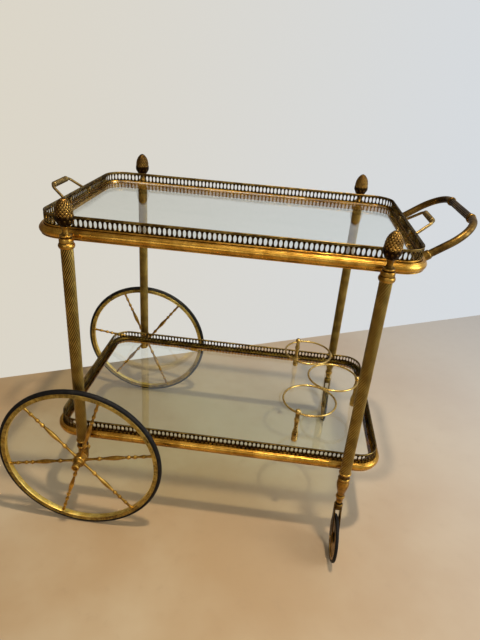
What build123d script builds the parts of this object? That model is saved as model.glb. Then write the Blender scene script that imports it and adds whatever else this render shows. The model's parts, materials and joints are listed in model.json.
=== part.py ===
"""Two-tier brass drinks trolley.

X runs along the trolley: the two large wheels are at -X ("left"), the casters and the push
handle at +X ("right"). -Y is "front", +Y is "back", Z is up and the floor is z = 0.
The origin is on the floor, midway between the four posts. Millimetres throughout.
"""

import os
from math import atan, atan2, cos, hypot, pi, radians, sin, sqrt

from build123d import *

os.makedirs("parts", exist_ok=True)

ENDS = (("left", -1), ("right", 1))
SIDES = (("front", -1), ("back", 1))

# Posts
POST_X = 275.0
POST_Y = 242.0
POST_R = 11.2
POST_BORE_R = 9.2
POST_FOOT_Z = 214.0
POST_HEAD_Z = 633.0
ROD_R = 3.0
ROD_LOW_Z = 192.0
ROD_HIGH_Z = 690.0

# Capitals and finials
CAPITAL_BEAD_R = 14.6
CAPITAL_BEAD_TOP_Z = 643.0
CAPITAL_BODY_R = 12.5
CAPITAL_BODY_TOP_Z = 651.5
CAPITAL_DISC_R = 9.6
CAPITAL_NECK_R = 4.8
CAPITAL_NECK_Z = 663.5
FINIAL_Z = 672.0
FINIAL_TOP_Z = 722.0
FINIAL_R = 16.2
FINIAL_WIDEST_Z = 695.5
FINIAL_FOOT_R = 7.4

# Turned pieces under the posts
FOOT_RING_R = 11.6
FOOT_RING_Z = 209.6
FOOT_NECK_R = 10.5
FOOT_BEAD_Z = 200.0
FOOT_BEAD_LOW_Z = 194.0
FOOT_BEAD_BULGE = 2.0
FOOT_RING_BULGE = 1.1
VASE_R = 12.8
VASE_WIDEST_Z = 184.0
VASE_LOW_R = 8.6
VASE_LOW_Z = 162.0
COVE_R = 7.6
LEG_BEAD_R = 9.5
LEG_BEAD_TOP_Z = 152.5
LEG_BEAD_LOW_Z = 143.5
WHEEL_FOOT_R = 9.8
WHEEL_FOOT_BULGE = 0.8
WHEEL_FOOT_TOP_Z = 190.5
WHEEL_FOOT_LOW_Z = 164.5
WHEEL_FOOT_END_Z = 158.5

# Rails: one moulding, used at two heights
RAIL_HALF_LENGTH = 355.0
RAIL_HALF_DEPTH = 217.0
RAIL_CORNER_R = 53.0
RAIL_HEIGHT = 19.0
TOP_RAIL_Z = 637.5
LOWER_RAIL_Z = 193.5
LIP_INSET = 8.8
WEB_INSET = 12.0
LEDGE_INSET = 24.0
LEDGE_UNDER = 9.5
LEDGE_TOP = 12.5
BRACKET_R = 5.0
TOP_BRACKET_Z = TOP_RAIL_Z + 10.0
LOWER_BRACKET_Z = 204.3
LOWER_BRACKET_R = 4.0

# Galleries: pierced strips standing 10 inside the rail's outer face
GALLERY_INSET = 10.0
BASE_THICKNESS = 2.0
STRIP_THICKNESS = 1.4
HOLE_WIDTH = 6.0
CORNER_HOLES = 8
LONG_HOLES = 68
SHORT_HOLES = 37
HOLE_PITCH = 8.865

TRAY_Z = TOP_RAIL_Z + LEDGE_TOP
TRAY_FLANGE = 2.0
TRAY_WALL_TOP = 660.0
TRAY_GALLERY_TOP = 680.4
TRAY_HOLE_Z = 668.4
TRAY_HOLE_HEIGHT = 13.0

SHELF_Z = LOWER_RAIL_Z + LEDGE_TOP
SHELF_WALL_TOP = 217.0
SHELF_GALLERY_TOP = 232.8
SHELF_HOLE_Z = 223.5
SHELF_HOLE_HEIGHT = 10.5

GLASS_THICKNESS = 6.0
GLASS_INSET = 12.6

# Push handle: a U of tube in a plane that rises away from the rail
HANDLE_R = 7.2
HANDLE_WALL = 1.2
HANDLE_HALF_WIDTH = 135.0
HANDLE_BAR_X = 444.0
HANDLE_BAR_Z = 711.0
HANDLE_ROOT_X = 352.0
HANDLE_ROOT_Z = 645.0
HANDLE_BEND_R = 60.0
SOCKET_R = 9.8
SOCKET_LENGTH = 15.0
SOCKET_START = 2.5
COLLAR_R = 9.3
COLLAR_LENGTH = 9.0
COLLAR_Y = 69.0

# Tray handles
BAIL_R = 2.9
BAIL_FOOT_Y = 6 * HOLE_PITCH
BAIL_GRIP_Y = 41.0
BAIL_KNEE_X = 356.0
BAIL_GRIP_X = 385.5
BAIL_GRIP_Z = 690.0
BAIL_BEND_R = 12.0
GRIP_HALF_LENGTH = 32.0
GRIP_RIBS = 9
GRIP_VALLEY_R = 5.1
GRIP_RIB_R = 6.1
ROSETTE_R = 7.2
ROSETTE_THICKNESS = 2.4
BAIL_NUT_R = 5.6
BAIL_NUT_HEIGHT = 3.6

# Bottle rack
RING_R = 58.4
RING_WIRE_R = 2.3
RING_Z = 285.0
RING_CENTRES = (("front", 195.0, -107.1), ("back", 195.0, 107.1), ("end", 252.5, 0.0))
RACK_LEG_TOP = 295.0
RACK_BALL_R = 6.6
RACK_NECK_R = 4.8
RACK_FOOT_R = 7.2
RACK_WAIST_R = 4.4
RACK_BEAD_R = 6.2

# Large wheels
WHEEL_R = 175.0
WHEEL_MID_Y = 264.0
TYRE_DEPTH = 7.0
TYRE_HALF_WIDTH = 5.5
TYRE_CROWN = 3.0
RIM_DEPTH = 10.0
RIM_HALF_WIDTH = 6.0
RIM_CROWN = 0.8
HUB_R = 13.5
HUB_SHOULDER_Y = 271.0
HUB_INNER_Y = 253.5
HUB_OUTER_Y = 291.0
HUB_NOSE_R = 8.0
AXLE_R = 3.5
AXLE_CLEARANCE = 0.05
AXLE_HEAD_R = 5.0
AXLE_HEAD_RECESS = 5.0
SPOKES = 6
SPOKE_PHASE = {"front": 12.5, "back": 53.0}
# (fraction of the spoke's length from the hub, radius) of the turned spoke
SPOKE_TURNING = (
    (0.00, 3.6), (0.05, 2.9), (0.16, 2.7), (0.21, 4.6), (0.26, 2.6), (0.33, 3.4), (0.45, 4.9),
    (0.58, 3.1), (0.615, 2.5), (0.65, 4.4), (0.685, 2.5), (0.715, 2.5), (0.75, 4.2),
    (0.785, 2.5), (0.84, 2.6), (0.88, 4.0), (0.92, 2.6), (1.00, 3.4),
)

# Casters
CASTER_R = 50.0
CASTER_TRAIL = 23.0
CASTER_TYRE_DEPTH = 6.0
CASTER_HALF_WIDTH = 3.2
CASTER_TYRE_CROWN = 1.6
CASTER_HUB_R = 9.0
CASTER_HUB_HALF_WIDTH = 5.0
CASTER_DISC_HALF_WIDTH = 1.6
FORK_INNER = 5.4
FORK_THICKNESS = 2.2
FORK_CROWN_WIDTH = 18.0
FORK_FOOT_WIDTH = 32.0
FORK_FOOT_RISE = 9.0
FORK_BELOW_AXLE = 10.0
CROWN_R = 9.0
CROWN_LOW_Z = 115.5
CROWN_PLATE_TOP = 120.0
CROWN_TOP_Z = 128.0
CROWN_BOSS_Z = 133.0
CROWN_BOSS_R = 5.4
LEG_LOW_Z = 134.0
LEG_LOW_R = 7.0
STEM_R = 4.0
STEM_CLEARANCE = 0.05
STEM_TOP_Z = 180.0
CASTER_AXLE_R = 3.0
CASTER_HEAD_R = 5.0
CASTER_HEAD_THICKNESS = 1.5


def at_post(x, y):
    """Plane through a post's axis: its x is the radius, its y is the height."""
    return Plane(origin=(x, y, 0), x_dir=(1, 0, 0), z_dir=(0, -1, 0))


def post_axis(x, y):
    return Axis((x, y, 0), (0, 0, 1))


def rail_path():
    """Closed path round the rails' outer face."""
    FilletPolyline(
        (RAIL_HALF_LENGTH, -RAIL_HALF_DEPTH),
        (RAIL_HALF_LENGTH, RAIL_HALF_DEPTH),
        (-RAIL_HALF_LENGTH, RAIL_HALF_DEPTH),
        (-RAIL_HALF_LENGTH, -RAIL_HALF_DEPTH),
        radius=RAIL_CORNER_R,
        close=True,
    )


def dome(base_radius, base, tip):
    """Arc centred on the axis, from a round base at one height to its tip at another."""
    rise = tip - base
    half_turn = atan(abs(rise) / base_radius)
    radius = base_radius / sin(2 * half_turn)
    centre = tip - rise / abs(rise) * radius
    shoulder = (radius * sin(half_turn), centre + rise / abs(rise) * radius * cos(half_turn))
    ThreePointArc((base_radius, base), shoulder, (0, tip))


def section_plane(z):
    """Section across the front rail: x is the inset from the outer face, y is the height."""
    return Plane(origin=(0, -RAIL_HALF_DEPTH, z), x_dir=(0, 1, 0), z_dir=(1, 0, 0))


# ---------------------------------------------------------------- rails
rails = {}
for rail_name, rail_z in (("top_rail", TOP_RAIL_Z), ("lower_rail", LOWER_RAIL_Z)):
    with BuildPart() as rail:
        with BuildLine(Plane.XY.offset(rail_z)):
            rail_path()
        with BuildSketch(section_plane(rail_z)):
            with BuildLine():
                ThreePointArc((3.3, 16.4), (0, 9.6), (3.3, 2.8))
                Line((3.3, 2.8), (3.3, 1.6))
                JernArc((3.3, 1.6), (0, -1), 1.6, 90)
                Polyline(
                    (4.9, 0),
                    (WEB_INSET, 0),
                    (WEB_INSET, LEDGE_UNDER),
                    (LEDGE_INSET, LEDGE_UNDER),
                    (LEDGE_INSET, LEDGE_TOP),
                    (LIP_INSET, LEDGE_TOP),
                    (LIP_INSET, RAIL_HEIGHT),
                    (6.0, RAIL_HEIGHT),
                )
                ThreePointArc((6.0, RAIL_HEIGHT), (5.0, 18.6), (4.7, 17.6))
                ThreePointArc((4.7, 17.6), (3.6, 17.3), (3.3, 16.4))
            make_face()
        sweep()
    rail.part.label = rail_name
    export_step(rail.part, f"parts/{rail_name}.step")
    rails[rail_name] = rail.part


# ---------------------------------------------------------------- galleries
def gallery_strip(length, holes, bottom, wall_top, top, hole_z, hole_height):
    """A straight strip along X standing on the plane y = 0, outer face towards -Y."""
    cap_bottom = hole_z + hole_height / 2 + STRIP_THICKNESS
    with BuildPart() as strip:
        with BuildSketch(Plane.XZ.offset(-(BASE_THICKNESS + STRIP_THICKNESS) / 2)):
            with Locations((0, (bottom + top) / 2)):
                Rectangle(length, top - bottom)
            with Locations((0, hole_z)):
                with GridLocations(HOLE_PITCH, 1, holes, 1):
                    Ellipse(HOLE_WIDTH / 2, hole_height / 2, mode=Mode.SUBTRACT)
        extrude(amount=STRIP_THICKNESS)
        with BuildSketch(Plane.XZ.offset(-BASE_THICKNESS)):
            with Locations((0, (cap_bottom + top) / 2)):
                Rectangle(length, top - cap_bottom)
            if wall_top > bottom:
                with Locations((0, (bottom + wall_top) / 2)):
                    Rectangle(length, wall_top - bottom)
        extrude(amount=BASE_THICKNESS)
    return strip.part


def gallery_corner(bottom, wall_top, top, hole_z, hole_height):
    """A quarter-round strip about the Z axis, from +X round to +Y."""
    outer = RAIL_CORNER_R - GALLERY_INSET
    mid = outer - BASE_THICKNESS / 2
    cap_bottom = hole_z + hole_height / 2 + STRIP_THICKNESS
    bands = [(bottom, top, STRIP_THICKNESS), (cap_bottom, top, BASE_THICKNESS)]
    if wall_top > bottom:
        bands.append((bottom, wall_top, BASE_THICKNESS))
    with BuildPart() as corner:
        for low, high, thickness in bands:
            with BuildSketch(Plane.XY.offset(low)):
                Circle(mid + thickness / 2)
                Circle(mid - thickness / 2, mode=Mode.SUBTRACT)
                with Locations((outer, outer)):
                    Rectangle(2 * outer, 2 * outer, mode=Mode.INTERSECT)
            extrude(amount=high - low)
        for hole in range(CORNER_HOLES):
            turn = pi / 2 * (hole + 0.5) / CORNER_HOLES
            outward = (cos(turn), sin(turn), 0)
            tangent = (-sin(turn), cos(turn), 0)
            with BuildSketch(Plane(origin=(0, 0, hole_z), x_dir=tangent, z_dir=outward)):
                Ellipse(HOLE_WIDTH / 2, hole_height / 2)
            extrude(amount=outer * 1.2, mode=Mode.SUBTRACT)
    return corner.part


GALLERIES = (
    ("tray_gallery", TRAY_WALL_TOP, TRAY_WALL_TOP, TRAY_GALLERY_TOP, TRAY_HOLE_Z,
     TRAY_HOLE_HEIGHT),
    ("lower_gallery", SHELF_Z, SHELF_WALL_TOP, SHELF_GALLERY_TOP, SHELF_HOLE_Z,
     SHELF_HOLE_HEIGHT),
)
for gallery_name, *levels in GALLERIES:
    face_x = RAIL_HALF_LENGTH - GALLERY_INSET
    face_y = RAIL_HALF_DEPTH - GALLERY_INSET
    centre_x = RAIL_HALF_LENGTH - RAIL_CORNER_R
    centre_y = RAIL_HALF_DEPTH - RAIL_CORNER_R
    long_strip = gallery_strip(2 * centre_x, LONG_HOLES, *levels)
    short_strip = gallery_strip(2 * centre_y, SHORT_HOLES, *levels)
    quarter = gallery_corner(*levels)
    with BuildPart() as sides:
        with Locations(Location((0, -face_y, 0)), Location((0, face_y, 0), (0, 0, 180))):
            add(long_strip)
        with Locations(
            Location((face_x, 0, 0), (0, 0, 90)),
            Location((-face_x, 0, 0), (0, 0, -90)),
        ):
            add(short_strip)
    sides.part.label = f"{gallery_name}_sides"
    export_step(sides.part, f"parts/{gallery_name}_sides.step")

    with BuildPart() as corners:
        with Locations(
            Location((centre_x, centre_y, 0)),
            Location((-centre_x, centre_y, 0), (0, 0, 90)),
            Location((-centre_x, -centre_y, 0), (0, 0, 180)),
            Location((centre_x, -centre_y, 0), (0, 0, 270)),
        ):
            add(quarter)
    corners.part.label = f"{gallery_name}_corners"
    export_step(corners.part, f"parts/{gallery_name}_corners.step")


# ---------------------------------------------------------------- tray rim and glass
with BuildPart() as tray_rim:
    with BuildLine(Plane.XY.offset(TRAY_Z)):
        rail_path()
    with BuildSketch(section_plane(0)):
        with BuildLine():
            wall_in = GALLERY_INSET + BASE_THICKNESS
            Polyline(
                (GALLERY_INSET, TRAY_WALL_TOP),
                (wall_in, TRAY_WALL_TOP),
                (wall_in, TRAY_Z + TRAY_FLANGE),
                (LEDGE_INSET, TRAY_Z + TRAY_FLANGE),
                (LEDGE_INSET, TRAY_Z),
                (GALLERY_INSET, TRAY_Z),
                (GALLERY_INSET, 657.0),
            )
            ThreePointArc((GALLERY_INSET, 657.0), (9.4, 657.7), (GALLERY_INSET, 658.4))
            ThreePointArc((GALLERY_INSET, 658.4), (9.4, 659.2), (GALLERY_INSET, TRAY_WALL_TOP))
        make_face()
    sweep()
tray_rim.part.label = "tray_rim"
export_step(tray_rim.part, "parts/tray_rim.step")

for glass_name, glass_z in (("tray_glass", TRAY_Z + TRAY_FLANGE), ("lower_glass", SHELF_Z)):
    with BuildPart() as glass:
        with BuildSketch(Plane.XY.offset(glass_z)):
            RectangleRounded(
                2 * (RAIL_HALF_LENGTH - GLASS_INSET),
                2 * (RAIL_HALF_DEPTH - GLASS_INSET),
                RAIL_CORNER_R - GLASS_INSET,
            )
        extrude(amount=GLASS_THICKNESS)
        chamfer(glass.edges().group_by(Axis.Z)[-1], length=0.8)
    glass.part.label = glass_name
    export_step(glass.part, f"parts/{glass_name}.step")


# ---------------------------------------------------------------- posts
for end_name, end in ENDS:
    for side_name, side in SIDES:
        x = end * POST_X
        y = side * POST_Y
        with BuildPart() as post_tube:
            with BuildSketch(at_post(x, y)):
                with Locations(((POST_R + POST_BORE_R) / 2, (POST_FOOT_Z + POST_HEAD_Z) / 2)):
                    Rectangle(POST_R - POST_BORE_R, POST_HEAD_Z - POST_FOOT_Z)
            revolve(axis=post_axis(x, y))
        post_tube.part.label = f"post_tube_{side_name}_{end_name}"
        export_step(post_tube.part, f"parts/post_tube_{side_name}_{end_name}.step")

        with BuildPart() as finial:
            with BuildSketch(at_post(x, y)):
                with BuildLine():
                    Polyline((ROD_R, FINIAL_Z), (FINIAL_FOOT_R, FINIAL_Z))
                    Spline(
                        (FINIAL_FOOT_R, FINIAL_Z),
                        (0.81 * FINIAL_R, (FINIAL_Z + FINIAL_WIDEST_Z) / 2 - 1.5),
                        (FINIAL_R, FINIAL_WIDEST_Z),
                        (0.8 * FINIAL_R, (FINIAL_WIDEST_Z + FINIAL_TOP_Z) / 2 + 1.0),
                        (0, FINIAL_TOP_Z),
                        tangents=((1, 0.5), (-1, 0)),
                    )
                    Polyline(
                        (0, FINIAL_TOP_Z), (0, ROD_HIGH_Z), (ROD_R, ROD_HIGH_Z), (ROD_R, FINIAL_Z)
                    )
                make_face()
            revolve(axis=post_axis(x, y))
        finial.part.label = f"finial_{side_name}_{end_name}"
        export_step(finial.part, f"parts/finial_{side_name}_{end_name}.step")

with BuildPart() as tie_rods:
    with BuildSketch(Plane.XY.offset(ROD_LOW_Z)):
        with GridLocations(2 * POST_X, 2 * POST_Y, 2, 2):
            Circle(ROD_R)
    extrude(amount=ROD_HIGH_Z - ROD_LOW_Z)
tie_rods.part.label = "post_tie_rods"
export_step(tie_rods.part, "parts/post_tie_rods.step")

capitals = []
for end_name, end in ENDS:
    for side_name, side in SIDES:
        x = end * POST_X
        y = side * POST_Y
        with BuildPart() as capital:
            with BuildSketch(at_post(x, y)):
                with BuildLine():
                    bead_mid = (POST_HEAD_Z + CAPITAL_BEAD_TOP_Z) / 2
                    disc_low = CAPITAL_BODY_TOP_Z + 2.0
                    disc_top = CAPITAL_BODY_TOP_Z + 6.0
                    Polyline((ROD_R, POST_HEAD_Z), (CAPITAL_BODY_R, POST_HEAD_Z))
                    ThreePointArc(
                        (CAPITAL_BODY_R, POST_HEAD_Z),
                        (CAPITAL_BEAD_R, bead_mid),
                        (CAPITAL_BODY_R, CAPITAL_BEAD_TOP_Z),
                    )
                    Polyline(
                        (CAPITAL_BODY_R, CAPITAL_BEAD_TOP_Z),
                        (CAPITAL_BODY_R, CAPITAL_BODY_TOP_Z),
                        (CAPITAL_DISC_R - 0.6, disc_low - 0.5),
                        (CAPITAL_DISC_R, disc_low),
                    )
                    ThreePointArc(
                        (CAPITAL_DISC_R, disc_low),
                        (CAPITAL_DISC_R + 1.4, (disc_low + disc_top) / 2),
                        (CAPITAL_DISC_R, disc_top),
                    )
                    ThreePointArc(
                        (CAPITAL_DISC_R, disc_top),
                        (CAPITAL_NECK_R + 1.2, disc_top + 2.0),
                        (CAPITAL_NECK_R, CAPITAL_NECK_Z),
                    )
                    ThreePointArc(
                        (CAPITAL_NECK_R, CAPITAL_NECK_Z),
                        (CAPITAL_NECK_R + 0.5, (CAPITAL_NECK_Z + FINIAL_Z) / 2 + 1.0),
                        (FINIAL_FOOT_R, FINIAL_Z),
                    )
                    Polyline((FINIAL_FOOT_R, FINIAL_Z), (ROD_R, FINIAL_Z), (ROD_R, POST_HEAD_Z))
                make_face()
            revolve(axis=post_axis(x, y))
        capital.part.label = f"capital_{side_name}_{end_name}"
        export_step(capital.part, f"parts/capital_{side_name}_{end_name}.step")
        capitals.append(capital.part)


def leg_head():
    """Shared upper outline of the turned pieces below the posts, from the rod bore outwards."""
    Polyline(
        (0, ROD_LOW_Z),
        (ROD_R, ROD_LOW_Z),
        (ROD_R, POST_FOOT_Z),
        (FOOT_RING_R, POST_FOOT_Z),
    )
    ThreePointArc(
        (FOOT_RING_R, POST_FOOT_Z),
        (FOOT_RING_R + FOOT_RING_BULGE, (POST_FOOT_Z + FOOT_RING_Z) / 2),
        (FOOT_RING_R, FOOT_RING_Z),
    )
    Polyline((FOOT_RING_R, FOOT_RING_Z), (FOOT_NECK_R, FOOT_RING_Z - 0.8), (FOOT_NECK_R, FOOT_BEAD_Z))
    ThreePointArc(
        (FOOT_NECK_R, FOOT_BEAD_Z),
        (FOOT_NECK_R + FOOT_BEAD_BULGE, (FOOT_BEAD_Z + FOOT_BEAD_LOW_Z) / 2),
        (FOOT_NECK_R, FOOT_BEAD_LOW_Z),
    )


legs = []
for side_name, side in SIDES:
    y = side * POST_Y
    with BuildPart() as caster_leg:
        with BuildSketch(at_post(POST_X, y)):
            with BuildLine():
                leg_head()
                Spline(
                    (FOOT_NECK_R, FOOT_BEAD_LOW_Z),
                    (VASE_R, VASE_WIDEST_Z),
                    (VASE_LOW_R, VASE_LOW_Z),
                    tangents=((1, -1), (-0.35, -1)),
                )
                ThreePointArc(
                    (VASE_LOW_R, VASE_LOW_Z),
                    (COVE_R, (VASE_LOW_Z + LEG_BEAD_TOP_Z) / 2),
                    (COVE_R, LEG_BEAD_TOP_Z),
                )
                ThreePointArc(
                    (COVE_R, LEG_BEAD_TOP_Z),
                    (LEG_BEAD_R, (LEG_BEAD_TOP_Z + LEG_BEAD_LOW_Z) / 2),
                    (COVE_R, LEG_BEAD_LOW_Z),
                )
                ThreePointArc(
                    (COVE_R, LEG_BEAD_LOW_Z),
                    (COVE_R - 0.7, (LEG_BEAD_LOW_Z + LEG_LOW_Z) / 2),
                    (LEG_LOW_R, LEG_LOW_Z),
                )
                Polyline(
                    (LEG_LOW_R, LEG_LOW_Z),
                    (STEM_R + STEM_CLEARANCE, LEG_LOW_Z),
                    (STEM_R + STEM_CLEARANCE, STEM_TOP_Z + 2),
                    (0, STEM_TOP_Z + 2),
                    (0, ROD_LOW_Z),
                )
            make_face()
        revolve(axis=post_axis(POST_X, y))
    caster_leg.part.label = f"caster_leg_{side_name}"
    export_step(caster_leg.part, f"parts/caster_leg_{side_name}.step")
    legs.append(caster_leg.part)

feet = {}
for side_name, side in SIDES:
    y = side * POST_Y
    with BuildPart() as wheel_foot:
        with BuildSketch(at_post(-POST_X, y)):
            with BuildLine():
                leg_head()
                Polyline((FOOT_NECK_R, FOOT_BEAD_LOW_Z), (WHEEL_FOOT_R, WHEEL_FOOT_TOP_Z))
                ThreePointArc(
                    (WHEEL_FOOT_R, WHEEL_FOOT_TOP_Z),
                    (WHEEL_FOOT_R + WHEEL_FOOT_BULGE, (WHEEL_FOOT_TOP_Z + WHEEL_FOOT_LOW_Z) / 2),
                    (WHEEL_FOOT_R, WHEEL_FOOT_LOW_Z),
                )
                dome(WHEEL_FOOT_R, WHEEL_FOOT_LOW_Z, WHEEL_FOOT_END_Z)
                Line((0, WHEEL_FOOT_END_Z), (0, ROD_LOW_Z))
            make_face()
        revolve(axis=post_axis(-POST_X, y))
        with BuildSketch(Plane(origin=(-POST_X, y, WHEEL_R), z_dir=(0, 1, 0))):
            Circle(AXLE_R)
        extrude(amount=2 * POST_R, both=True, mode=Mode.SUBTRACT)
    wheel_foot.part.label = f"wheel_foot_{side_name}"
    export_step(wheel_foot.part, f"parts/wheel_foot_{side_name}.step")
    legs.append(wheel_foot.part)
    feet[side_name] = wheel_foot.part


# ---------------------------------------------------------------- brackets from rails to posts
bracket_start = RAIL_HALF_DEPTH - 3.0
bracket_end = POST_Y - 6.0
with BuildPart() as brackets:
    for z, radius in ((TOP_BRACKET_Z, BRACKET_R), (LOWER_BRACKET_Z, LOWER_BRACKET_R)):
        for _, side in SIDES:
            inner_end = Plane(
                origin=(0, side * bracket_start, z), x_dir=(1, 0, 0), z_dir=(0, side, 0)
            )
            with BuildSketch(inner_end):
                with Locations((-POST_X, 0), (POST_X, 0)):
                    Circle(radius)
            extrude(amount=bracket_end - bracket_start)
    add(list(rails.values()), mode=Mode.SUBTRACT)
    add(capitals, mode=Mode.SUBTRACT)
    add(legs, mode=Mode.SUBTRACT)
brackets.part.label = "rail_brackets"
export_step(brackets.part, "parts/rail_brackets.step")


# ---------------------------------------------------------------- push handle
handle_run = HANDLE_BAR_X - HANDLE_ROOT_X
handle_rise = HANDLE_BAR_Z - HANDLE_ROOT_Z
handle_leg = hypot(handle_run, handle_rise)
leg_direction = Vector(handle_run, 0, handle_rise).normalized()
handle_plane = Plane(
    origin=(HANDLE_ROOT_X, 0, HANDLE_ROOT_Z),
    x_dir=leg_direction,
    z_dir=(-leg_direction.Z, 0, leg_direction.X),
)


def handle_solid(radius):
    """The U of the push handle as a bar of the given radius, rail end included."""
    with BuildPart() as bar:
        with BuildLine(handle_plane) as route:
            FilletPolyline(
                (0, -HANDLE_HALF_WIDTH),
                (handle_leg, -HANDLE_HALF_WIDTH),
                (handle_leg, HANDLE_HALF_WIDTH),
                (0, HANDLE_HALF_WIDTH),
                radius=HANDLE_BEND_R,
            )
        with BuildSketch(Plane(origin=route.line @ 0, z_dir=route.line % 0)):
            Circle(radius)
        sweep(path=route.line)
    return bar.part


handle_bar = handle_solid(HANDLE_R)
with BuildPart() as push_handle:
    add(handle_bar)
    add(handle_solid(HANDLE_R - HANDLE_WALL), mode=Mode.SUBTRACT)
    add(rails["top_rail"], mode=Mode.SUBTRACT)
push_handle.part.label = "push_handle"
export_step(push_handle.part, "parts/push_handle.step")

with BuildPart() as sockets:
    for _, side in SIDES:
        root = handle_plane.from_local_coords(Vector(SOCKET_START, side * HANDLE_HALF_WIDTH, 0))
        with BuildSketch(Plane(origin=root, z_dir=leg_direction)):
            Circle(SOCKET_R)
        extrude(amount=SOCKET_LENGTH)
    chamfer(sockets.faces().sort_by(Axis.X)[-2:].edges(), length=1.5)
    add(handle_bar, mode=Mode.SUBTRACT)
    add(rails["top_rail"], mode=Mode.SUBTRACT)
sockets.part.label = "push_handle_sockets"
export_step(sockets.part, "parts/push_handle_sockets.step")

with BuildPart() as collars:
    for _, side in SIDES:
        bar_plane = Plane(
            origin=(HANDLE_BAR_X, side * COLLAR_Y - COLLAR_LENGTH / 2, HANDLE_BAR_Z), z_dir=(0, 1, 0)
        )
        with BuildSketch(bar_plane):
            Circle(COLLAR_R)
            Circle(HANDLE_R, mode=Mode.SUBTRACT)
        extrude(amount=COLLAR_LENGTH)
    outer_edges = collars.edges().filter_by(GeomType.CIRCLE).filter_by(
        lambda edge: edge.radius > HANDLE_R + 1
    )
    fillet(outer_edges, radius=1.8)
collars.part.label = "push_handle_collars"
export_step(collars.part, "parts/push_handle_collars.step")


# ---------------------------------------------------------------- tray handles
gallery_face = RAIL_HALF_LENGTH - GALLERY_INSET
strip_out = gallery_face - (BASE_THICKNESS - STRIP_THICKNESS) / 2
strip_in = strip_out - STRIP_THICKNESS
for end_name, end in ENDS:
    with BuildPart() as bail:
        with BuildLine() as route:
            FilletPolyline(
                (end * (strip_in - BAIL_NUT_HEIGHT), -BAIL_FOOT_Y, TRAY_HOLE_Z),
                (end * BAIL_KNEE_X, -BAIL_FOOT_Y, TRAY_HOLE_Z),
                (end * BAIL_GRIP_X, -BAIL_GRIP_Y, BAIL_GRIP_Z),
                (end * BAIL_GRIP_X, BAIL_GRIP_Y, BAIL_GRIP_Z),
                (end * BAIL_KNEE_X, BAIL_FOOT_Y, TRAY_HOLE_Z),
                (end * (strip_in - BAIL_NUT_HEIGHT), BAIL_FOOT_Y, TRAY_HOLE_Z),
                radius=BAIL_BEND_R,
            )
        with BuildSketch(Plane(origin=route.line @ 0, z_dir=route.line % 0)):
            Circle(BAIL_R)
        sweep(path=route.line)
    bail.part.label = f"tray_handle_{end_name}"
    export_step(bail.part, f"parts/tray_handle_{end_name}.step")

rib_pitch = 2 * GRIP_HALF_LENGTH / GRIP_RIBS
for end_name, end in ENDS:
    grip_plane = Plane(
        origin=(end * BAIL_GRIP_X, 0, BAIL_GRIP_Z), x_dir=(0, 1, 0), z_dir=(1, 0, 0)
    )
    with BuildPart() as grip:
        with BuildSketch(grip_plane):
            with BuildLine():
                for rib in range(GRIP_RIBS):
                    low = -GRIP_HALF_LENGTH + rib * rib_pitch
                    ThreePointArc(
                        (low, GRIP_VALLEY_R),
                        (low + rib_pitch / 2, GRIP_RIB_R),
                        (low + rib_pitch, GRIP_VALLEY_R),
                    )
                Polyline(
                    (GRIP_HALF_LENGTH, GRIP_VALLEY_R),
                    (GRIP_HALF_LENGTH, BAIL_R),
                    (-GRIP_HALF_LENGTH, BAIL_R),
                    (-GRIP_HALF_LENGTH, GRIP_VALLEY_R),
                )
            make_face()
        revolve(axis=Axis((end * BAIL_GRIP_X, 0, BAIL_GRIP_Z), (0, 1, 0)))
    grip.part.label = f"tray_handle_grip_{end_name}"
    export_step(grip.part, f"parts/tray_handle_grip_{end_name}.step")

with BuildPart() as bail_nuts:
    for _, end in ENDS:
        for _, side in SIDES:
            foot = (0, side * BAIL_FOOT_Y, TRAY_HOLE_Z)
            outside = Plane(origin=foot, z_dir=(end, 0, 0)).offset(strip_out)
            inside = Plane(origin=foot, z_dir=(end, 0, 0)).offset(strip_in)
            with BuildSketch(outside):
                Circle(ROSETTE_R)
                Circle(BAIL_R, mode=Mode.SUBTRACT)
            extrude(amount=ROSETTE_THICKNESS)
            with BuildSketch(inside):
                RegularPolygon(BAIL_NUT_R, 6)
                Circle(BAIL_R, mode=Mode.SUBTRACT)
            extrude(amount=-BAIL_NUT_HEIGHT)
bail_nuts.part.label = "tray_handle_nuts"
export_step(bail_nuts.part, "parts/tray_handle_nuts.step")


# ---------------------------------------------------------------- bottle rack
shelf_top = SHELF_Z + GLASS_THICKNESS
rings = []
for ring_name, x, y in RING_CENTRES:
    with BuildPart() as ring:
        with BuildSketch(at_post(x, y)):
            with Locations((RING_R, RING_Z)):
                Circle(RING_WIRE_R)
        revolve(axis=post_axis(x, y))
    ring.part.label = f"bottle_ring_{ring_name}"
    export_step(ring.part, f"parts/bottle_ring_{ring_name}.step")
    rings.append(ring.part)

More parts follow.
